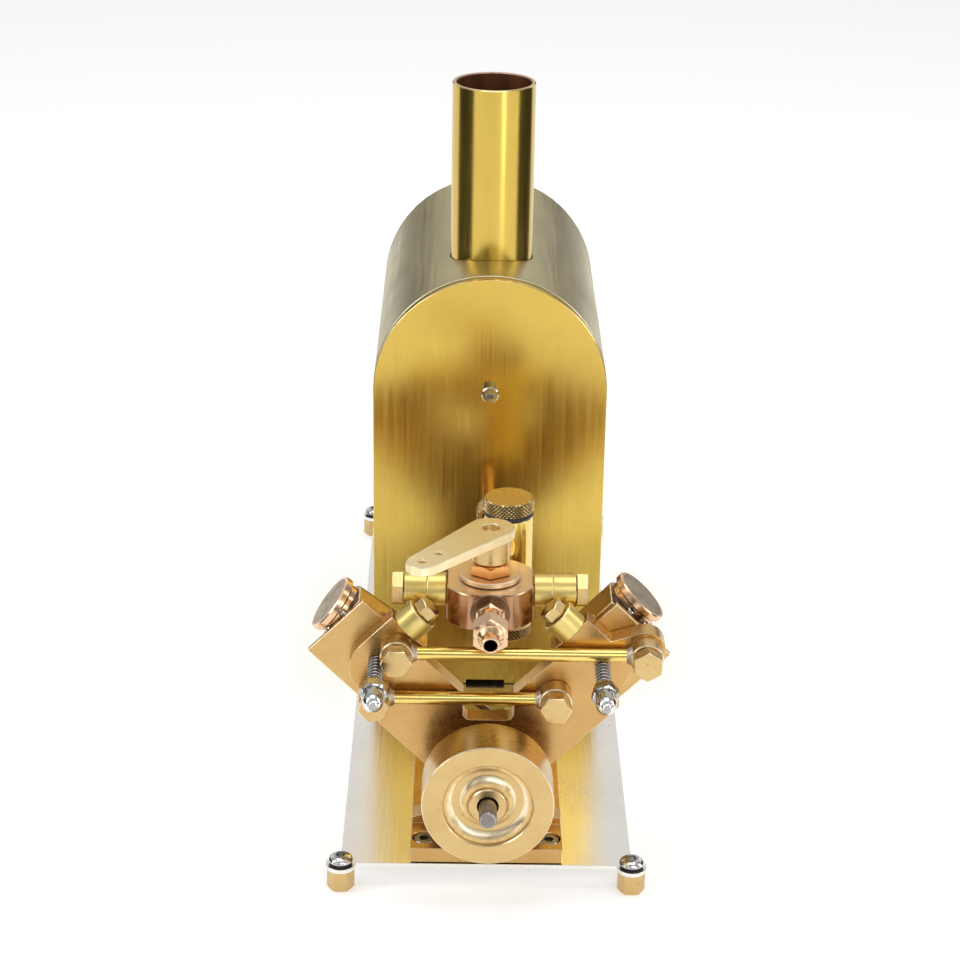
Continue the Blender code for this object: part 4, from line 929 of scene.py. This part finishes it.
def make_cylinder(side, sign):
    low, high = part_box(f"cylinder_{side}")
    back = high.y - low.y - BLOCK_HALF
    outline = [(-BLOCK_HALF, 0), (BLOCK_HALF, 0)] + arc(BLOCK_HALF, 0, 180, 48, (0, back))
    block = push_through(outline, BLOCK_INNER, BLOCK_OUTER, 0.2 * MM)
    shape = show(block, f"cylinder_block_{side}", "machined", f"cylinder_{side}")
    scoop = [(0, -1 * MM), (4.6 * MM, -1 * MM), (4.6 * MM, 1.4 * MM), (3.6 * MM, 2.7 * MM),
             (2.0 * MM, 3.4 * MM), (0, 3.6 * MM)]
    upper = Vector((-sign * (BLOCK_HALF + 2.6 * MM), 0, 1.2 * MM))
    carve(shape, place(spin_section(scoop, 64), upper, ALONG_Y))
    shape.data.transform(cylinder_matrix(side))
    make_cap(side, sign, back)
    # A thin black sheet on the block's end face, under the cap: painted shade.
    half, front, rear = 6.6 * MM, 0.25 * MM, 5.0 * MM
    end = push_through([(-half, front), (half, front), (half, rear), (-half, rear)],
                       BLOCK_OUTER - 0.1 * MM, BLOCK_OUTER + 0.12 * MM, 0)
    show(lean(end, side), f"end_shade_sheet_{side}", "black", body=BODY_OF[f"cylinder_{side}"])
    for label, across in (("lower", 3.15 * MM), ("upper", -1.85 * MM)):
        head = socket_points(1.0 * MM, 0, 1.3 * MM, 1.0 * MM, 0.15 * MM)
        screw = place(spin_section(head, 36), Vector((sign * across, 0.95 * MM, BLOCK_OUTER + 0.1 * MM)))
        show(lean(screw, side), f"end_screw_{side}_{label}", "steel",
             body=BODY_OF[f"cylinder_{side}"])


def make_cap(side, sign, back):
    """The round end cover: a copper-bright rim round a brushed brown face."""
    start = CAP_END - CAP_PLATE
    edge = 0.25 * MM
    neck_low = BLOCK_OUTER + 0.2 * MM
    groove = CAP_NECK - 0.3 * MM
    section = [(0, neck_low), (CAP_NECK, neck_low), (CAP_NECK, start - 0.25 * MM),
               (groove, start - 0.2 * MM), (groove, start), (BLOCK_HALF - edge, start),
               (BLOCK_HALF, start + edge), (BLOCK_HALF, CAP_END - edge), (BLOCK_HALF - edge, CAP_END),
               (BLOCK_HALF - 3 * edge, CAP_END), (0, CAP_END)]
    bm = place(spin_section(section, 96), Vector((0, back, 0)))
    cap = show(lean(bm, side), f"end_cover_{side}", "rosy", f"cylinder_cap_{side}")
    cap.data.materials.append(FINISH["cap_face"])
    axis = (cylinder_matrix(side).to_3x3() @ ALONG_Z).normalized()
    for face in cap.data.polygons:
        if face.normal.dot(axis) > 0.99 and len(face.vertices) == 3:
            face.material_index = 1


def pivot_height(y):
    """Distance in front of the port face for a place given along Y."""
    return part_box("cylinder_left")[0].y - y


def make_stud(side, sign):
    tip = pivot_height(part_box(f"pivot_stud_{side}")[0].y)
    dome = pivot_height(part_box(f"pivot_nut_{side}")[0].y) + 0.2 * MM
    stem = 1.2 * MM
    round_part = 2.3 * MM
    section = [(0, 0), (stem, 0), (stem, dome), (round_part - 0.3 * MM, dome),
               (round_part, dome + 0.3 * MM), (round_part, tip - 2.6 * MM)]
    section += [(round_part * math.cos(math.radians(a)),
                 tip - 2.6 * MM + 2.5 * MM * math.sin(math.radians(a))) for a in range(10, 61, 10)]
    section += [(round_part * 0.44, tip - 0.15 * MM), (round_part * 0.36, tip), (0, tip)]
    bm = place(spin_section(section, 48), Vector((0, 0, 0)), -ALONG_Y)
    show(lean(bm, side), f"pivot_pin_{side}", "steel", f"pivot_stud_{side}")


def make_spring(side, sign):
    low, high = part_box(f"pivot_spring_{side}")
    start, end = pivot_height(high.y), pivot_height(low.y)
    wire = 0.29 * MM
    pitch = 1.45 * MM
    radius = 1.50 * MM
    turns = math.floor((end - start - 2 * wire) / pitch)
    steps = 20
    bm = bmesh.new()
    loop = bmesh.ops.create_circle(bm, segments=8, radius=wire)["verts"]
    bmesh.ops.rotate(bm, verts=loop, matrix=Matrix.Rotation(math.pi / 2, 3, "X"))
    bmesh.ops.translate(bm, verts=loop, vec=(radius, 0, start + wire))
    bmesh.ops.spin(bm, geom=list(bm.verts) + list(bm.edges), axis=(0, 0, 1), cent=(0, 0, 0),
                   dvec=(0, 0, pitch / steps), steps=steps * turns, angle=math.tau * turns)
    bmesh.ops.holes_fill(bm, edges=[edge for edge in bm.edges if edge.is_boundary], sides=8)
    place(bm, Vector((0, 0, 0)), -ALONG_Y)
    show(lean(bm, side), f"coil_{side}", "spring", f"pivot_spring_{side}", crease=60)


def make_nut(side, sign):
    low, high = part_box(f"pivot_nut_{side}")
    start, end = pivot_height(high.y), pivot_height(low.y)
    half = 2.75 * MM
    split = start + 0.30 * (end - start)
    section = [(1.3 * MM, start), (2.5 * MM, start), (2.5 * MM, split - 0.1 * MM),
               (half * 0.92, split), (half, split + 0.1 * MM, "hex", -HEX_SLOPE),
               (half, end - 0.15 * MM, "hex", HEX_SLOPE), (half * 0.92, end), (1.3 * MM, end)]
    bm = place(spin_section(section, 48, closed=True), Vector((0, 0, 0)), -ALONG_Y)
    show(lean(bm, side), f"stop_nut_{side}", "steel", f"pivot_nut_{side}")


for side, sign in SIDES:
    make_cylinder(side, sign)
    make_stud(side, sign)
    make_spring(side, sign)
    make_nut(side, sign)
    show(refined(f"piston_{side}", 0.08 * MM), f"piston_rod_{side}", "steel", f"piston_{side}")
print("cylinders made")

# %% [markdown]
# ## Front pipes and their unions
# Two bright pipes carry steam across the frame. Each end is silver-soldered into a round collar, and
# a hexagonal bolt holds the collar to the frame. The grey bead of solder is a small turned piece of
# its own.

# %% Pipes
COLLAR = 3.7 * MM
PIPE = 1.5 * MM


def make_front_pipe(label, turns):
    node = f"{label}_pipe"
    low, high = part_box(node)
    centre_z = (low.z + high.z) / 2
    centre_y = (low.y + high.y) / 2
    left, right = low.x + COLLAR, high.x - COLLAR
    tube = place(spin_section(bar_points(PIPE, 0, right - left), 48), Vector((left, centre_y, centre_z)),
                 ALONG_X)
    show(tube, f"{label}_tube", "bright", node)
    for (side, sign), x, turn in zip(SIDES, (left, right), turns):
        collar = place(spin_section(bar_points(COLLAR, 0, high.y - low.y, 0.25 * MM), 72),
                       Vector((x, high.y, centre_z)), -ALONG_Y)
        show(collar, f"{label}_collar_{side}", "turned", node)
        bead = [(PIPE, -0.3 * MM), (PIPE + 0.75 * MM, -0.3 * MM), (PIPE + 0.45 * MM, 0.35 * MM),
                (PIPE + 0.12 * MM, 0.9 * MM), (PIPE, 1.0 * MM)]
        start = Vector((x - sign * (COLLAR - 0.15 * MM), centre_y, centre_z))
        solder = place(spin_section(bead, 36, closed=True), start, -sign * ALONG_X)
        show(solder, f"{label}_solder_{side}", "solder", body=BODY_OF[node])
        make_union_bolt(f"{label}_pipe_bolt_{side}", turn)


def make_union_bolt(node, turn):
    low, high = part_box(node)
    flats = high.z - low.z
    section = hex_points(flats, 0, high.y - low.y)
    spot = Vector((middle(node).x, high.y, middle(node).z))
    show_spun(section, 72, spot, f"{node}_head", "turned", node, axis=-ALONG_Y, turn=math.radians(turn))


make_front_pipe("upper", (0, 30))
make_front_pipe("lower", (8, 0))
print("front pipes made")

# %% [markdown]
# ## Reversing valve
# A round body with four flats, a thin flange, a hexagonal gland nut and a pale lever on the spindle.
# The body is a full spin whose rim is held back at the flats. The lever is an outline with three
# holes cut through it, and the spindle is turned separately, as it would be on a bench.


# %% Valve
def make_valve_body():
    low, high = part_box("valve_body")
    flat = (high.x - low.x) / 2
    radius = 10.8 * MM
    height = high.z - low.z
    edge = 0.25 * MM
    well = 2.6 * MM
    section = [(0, 0), (radius - edge, 0, "flats", flat - edge), (radius, edge, "flats", flat),
               (radius, height - edge, "flats", flat), (radius - edge, height, "flats", flat - edge),
               (well, height), (well, height - 3 * MM), (0, height - 3 * MM)]
    spot = base_of("valve_body")
    body = show_spun(section, 144, spot, "valve_block", "valve", "valve_body")
    body.data.materials.append(FINISH["pinkish"])
    # Faces that look straight up take the pale pinkish finish, the rest the darker copper: painted light, the top
    # lighter where the light from above falls on it, the sides darker.
    for face in body.data.polygons:
        if face.normal.z > 0.9:
            face.material_index = 1


def make_flange_and_gland():
    radius = size_of("valve_flange").x / 2
    height = size_of("valve_flange").z
    bore = 2.6 * MM
    edge = 0.2 * MM
    section = [(bore, 0), (radius - edge, 0), (radius, edge), (radius, height - edge),
               (radius - edge, height), (bore, height)]
    spot = base_of("valve_flange")
    show_spun(section, 96, spot, "valve_disc", "pinkish", "valve_flange", closed=True)
    half = 4.3 * MM
    bore = 2.25 * MM
    height = size_of("gland_nut").z
    section = [(bore, 0), (half, 0, "hex"), (half, height - 0.2 * MM, "hex", HEX_SLOPE),
               (half * 0.9, height), (bore, height)]
    spot.z = base_of("gland_nut").z
    show_spun(section, 72, spot, "gland_hex", "orange", "gland_nut", turn=math.radians(30), closed=True)


make_valve_body()
make_flange_and_gland()

# %% Lever
LEVER_HEADING = math.radians(231.2)
LEVER_REACH = 24.0 * MM
LEVER_BIG = 5.3 * MM
LEVER_TIP = 3.6 * MM
LEVER_THICK = 2.2 * MM
TIP_PITCH = 5.6 * MM


def make_lever():
    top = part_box("valve_lever")[1].z
    lean_in = math.degrees(math.asin((LEVER_BIG - LEVER_TIP) / LEVER_REACH))
    tip = arc(LEVER_TIP, -90 + lean_in, 90 - lean_in, 4, (LEVER_REACH, 0))
    outline = tip + arc(LEVER_BIG, 90 - lean_in, 270 + lean_in, 36)
    bm = push_through(outline, -LEVER_THICK, 0, 0.18 * MM)
    pivot = Vector(JOINTS["valve_lever_turn"]["pos_m"])
    spot = Vector((pivot.x, pivot.y, top))
    lever = show(place(bm, spot, ALONG_Z, LEVER_HEADING), "lever_arm", "pale", "valve_lever")
    heading = Vector((math.cos(LEVER_HEADING), math.sin(LEVER_HEADING), 0))
    holes = ((0, 1.95 * MM), (LEVER_REACH - TIP_PITCH, 0.8 * MM), (LEVER_REACH, 0.8 * MM))
    for reach, radius in holes:
        hole = spin_section(bar_points(radius, -4 * MM, 4 * MM, 0.0001 * MM), 48)
        carve(lever, place(hole, spot + heading * reach))
        countersink = [(0, -0.25 * MM), (radius, -0.25 * MM), (radius + 0.45 * MM, 0.2 * MM), (0, 0.2 * MM)]
        carve(lever, place(spin_section(countersink, 48), spot + heading * reach))
    make_spindle(spot)


def make_spindle(spot):
    """The boss under the lever, and the screwed end that shows down its hole."""
    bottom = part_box("gland_nut")[1].z + 0.2 * MM - spot.z
    boss = 4.3 * MM
    edge = 0.2 * MM
    top = -LEVER_THICK + 0.05 * MM
    section = [(0, bottom), (boss - edge, bottom), (boss, bottom + edge), (boss, top), (1.9 * MM, top),
               (1.9 * MM, -1.6 * MM), (1.5 * MM, -1.2 * MM), (0, -1.2 * MM)]
    show_spun(section, 72, spot, "spindle_boss", "turned", "valve_lever")


make_lever()


# %% Exhaust nipple
def make_nipple():
    """From the valve outwards: a hexagonal base, a groove, a union nut and the bored spout."""
    low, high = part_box("exhaust_nipple")
    length = high.y - low.y
    base, nut = 3.15 * MM, 3.75 * MM
    spout, bore = 2.0 * MM, 1.45 * MM
    section = [(0, 0), (base, 0, "hex"), (base, 2.6 * MM, "hex", HEX_SLOPE), (base * 0.92, 2.8 * MM),
               (2.5 * MM, 2.8 * MM), (2.5 * MM, 3.2 * MM), (2.9 * MM, 3.4 * MM), (2.9 * MM, 7.3 * MM),
               (nut * 0.93, 7.3 * MM), (nut, 7.5 * MM, "hex", -HEX_SLOPE), (nut, 11.9 * MM, "hex", HEX_SLOPE),
               (nut * 0.93, 12.1 * MM), (2.9 * MM, 12.2 * MM), (2.6 * MM, 12.6 * MM), (spout, 13.2 * MM),
               (spout, length - 0.2 * MM), (spout - 0.2 * MM, length), (bore + 0.1 * MM, length),
               (bore, length - 0.15 * MM), (bore, 6 * MM), (0, 6 * MM)]
    spot = Vector((middle("exhaust_nipple").x, high.y, middle("exhaust_nipple").z))
    bm = place(spin_section(section, 72), spot, -ALONG_Y, math.radians(30))
    nipple = show(bm, "nipple_and_nut", "rosy", "exhaust_nipple")
    # The bore's faces take the black finish: painted shade down the bore.
    nipple.data.materials.append(FINISH["black"])
    for face in nipple.data.polygons:
        inward = (face.center - spot) * Vector((1, 0, 1))
        if inward.length < bore * 1.05 and abs(face.center.y - spot.y) < length - 0.2 * MM:
            face.material_index = 1
    # A thin dark disc round the nipple's base on the valve face: painted shade.
    washer = bar_points(4.5 * MM, -0.15 * MM, 0.12 * MM, 0.05 * MM)
    show_spun(washer, 72, spot, "nipple_shade_disc", "shade_brown", body=BODY_OF["exhaust_nipple"], axis=-ALONG_Y)


make_nipple()

# %% [markdown]
# ## Side and diagonal unions
# On each side a bright barrel leaves the valve, and a short copper stub joins it to a second barrel
# that stands square on the arm. Each barrel is closed by a hexagonal bolt, with a dark line between.

# %% Unions
ARM = math.radians(45)
UNION = 3.8 * MM
DIAGONAL = 3.9 * MM


def make_side_union(side, sign):
    bolt = f"side_bolt_{side}"
    low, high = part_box(bolt)
    spot = Vector((sign * (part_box("valve_body")[1].x + 0.2 * MM), middle(bolt).y, middle(bolt).z))
    start = abs(spot.x)
    length = min(abs(low.x), abs(high.x)) - 0.2 * MM - start
    waist = length * 0.45
    section = [(0, 0), (UNION - 0.15 * MM, 0), (UNION, 0.15 * MM), (UNION, waist - 0.2 * MM),
               (UNION - 0.12 * MM, waist), (UNION + 0.05 * MM, waist + 0.2 * MM),
               (UNION + 0.05 * MM, length - 0.2 * MM), (UNION - 0.2 * MM, length), (0, length)]
    node = f"steam_link_{side}"
    show_spun(section, 72, spot, f"side_barrel_{side}", "satin", node, axis=sign * ALONG_X)
    head = hex_points(high.z - low.z, 0, high.x - low.x)
    start_x = sign * (start + length + 0.2 * MM)
    show_spun(head, 72, Vector((start_x, spot.y, spot.z)), f"{bolt}_head", "turned", bolt,
              axis=sign * ALONG_X)
    gap = [(0, -0.25 * MM), (2.4 * MM, -0.25 * MM), (2.4 * MM, 0.05 * MM), (0, 0.05 * MM)]
    show_spun(gap, 36, Vector((start_x, spot.y, spot.z)), f"{bolt}_washer", "rubber", body=BODY_OF[bolt],
              axis=sign * ALONG_X)
    make_diagonal_union(side, sign, spot)


def make_diagonal_union(side, sign, valve_side):
    inward = Vector((-sign * math.sin(ARM), 0, math.cos(ARM)))
    bolt = f"diagonal_bolt_{side}"
    centre = middle(bolt)
    thick = 2.4 * MM
    foot_gap = 0.2 * MM
    length = 5.0 * MM
    bolt_start = centre - inward * thick / 2
    foot = bolt_start - inward * (length + foot_gap)
    node = f"steam_link_{side}"
    show_spun(bar_points(DIAGONAL, 0, length, 0.2 * MM), 72, foot, f"diagonal_barrel_{side}", "satin",
              node, axis=inward)
    show_spun(hex_points(5.0 * MM, 0, thick), 72, bolt_start, f"{bolt}_head", "turned", bolt, axis=inward)
    joint = bar_points(2.55 * MM, -0.25 * MM, 0.05 * MM, 0.02 * MM)
    show_spun(joint, 36, bolt_start, f"{bolt}_washer", "rubber", body=BODY_OF[bolt], axis=inward)
    start = foot + inward * (length * 0.3) + ALONG_Y * 1.5 * MM
    end = Vector((sign * 17.8 * MM, valve_side.y, valve_side.z))
    reach = (end - start).length
    show_spun(bar_points(1.2 * MM, 0, reach), 36, start, f"stub_{side}", "rosy", node, axis=end - start)
    bead = bmesh.new()
    bmesh.ops.create_uvsphere(bead, u_segments=24, v_segments=12, radius=1.5 * MM)
    note_turning(bead)
    at_barrel = start + (end - start).normalized() * (reach - UNION - 0.1 * MM)
    show(place(bead, at_barrel), f"stub_solder_{side}", "solder" if sign < 0 else "orange",
         body=BODY_OF[node])


for side, sign in SIDES:
    make_side_union(side, sign)
print("valve and unions made")

# %% [markdown]
# ## Oil pot and steam pipe
# The lubricator is a bright cup with a knurled cap above a rubber ring and a knurled drain knob
# below. A knurl is a grid of little pyramids, so every second point of a fine spin is pushed in and
# the pattern moves on by one in each row.


# %% Knurled pieces
def knurl_rows(radius, low, high, depth, pitch):
    """Rows for a diamond knurl between two heights."""
    count = max(2, round((high - low) / pitch))
    return [(radius, low + (high - low) * row / count, "knurl", depth) for row in range(count + 1)]


def make_pot():
    low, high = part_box("lubricator_pot")
    radius = (high.x - low.x) / 2
    inner = radius - 1.2 * MM
    top = high.z - low.z
    edge = 0.2 * MM
    section = [(0, 0), (radius - edge, 0), (radius, edge), (radius, top - edge), (radius - edge, top),
               (inner, top), (inner, 1.5 * MM), (0, 1.5 * MM)]
    spot = base_of("lubricator_pot")
    show_spun(section, 96, spot, "oil_cup", "bright", "lubricator_pot")
    seal = place(hoop(radius - 0.35 * MM, 0.95 * MM, 0.48 * MM), Vector((spot.x, spot.y, high.z)))
    show(seal, "cap_seal", "rubber", body=BODY_OF["lubricator_pot"])


def make_cap_and_drain():
    low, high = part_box("lubricator_cap")
    radius = (high.x - low.x) / 2
    thick = 3.3 * MM
    base = high.z - thick
    edge = 0.35 * MM
    section = [(0, -2.5 * MM), (4.0 * MM, -2.5 * MM), (4.0 * MM, 0), (radius - 0.3 * MM, 0)]
    section += knurl_rows(radius, 0.25 * MM, thick - edge, 0.32 * MM, 0.46 * MM)
    section += [(radius - 0.45 * MM, thick), (0, thick)]
    spot = Vector((middle("lubricator_cap").x, middle("lubricator_cap").y, base))
    show_spun(section, 76, spot, "knurled_cap", "turned", "lubricator_cap")
    low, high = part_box("drain_knob")
    radius = (high.x - low.x) / 2
    height = high.z - low.z
    section = [(0, 0), (radius - 0.45 * MM, 0)]
    section += knurl_rows(radius, edge, height - 0.9 * MM, 0.32 * MM, 0.46 * MM)
    section += [(radius, height - 0.75 * MM), (radius, height - 0.3 * MM), (radius - 0.5 * MM, height),
                (0, height)]
    spot = base_of("drain_knob")
    show_spun(section, 76, spot, "knurled_drain", "turned", "drain_knob")


def make_steam_line():
    low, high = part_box("steam_pipe")
    spot = Vector((middle("steam_pipe").x, low.y, middle("steam_pipe").z))
    show_spun(bar_points(PIPE, 0, high.y - low.y), 48, spot, "steam_tube", "orange", "steam_pipe",
              axis=ALONG_Y)
    low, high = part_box("union_nut")
    radius = (high.x - low.x) / 2
    length = high.y - low.y
    section = [(PIPE + 0.2 * MM, 0), (radius - 0.4 * MM, 0)]
    section += knurl_rows(radius, 0.3 * MM, length - 0.3 * MM, 0.28 * MM, 0.46 * MM)
    section += [(radius - 0.4 * MM, length), (PIPE + 0.2 * MM, length)]
    spot.y = low.y
    show_spun(section, 44, spot, "knurled_union", "turned", "union_nut", axis=ALONG_Y, closed=True)
    low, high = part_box("lubricator_link")
    spot = Vector((middle("lubricator_link").x, low.y, middle("lubricator_link").z))
    show_spun(bar_points(PIPE, 0, high.y - low.y), 48, spot, "oil_link", "bright", "lubricator_link",
              axis=ALONG_Y)


make_pot()
make_cap_and_drain()
make_steam_line()
print("oil pot and steam line made")
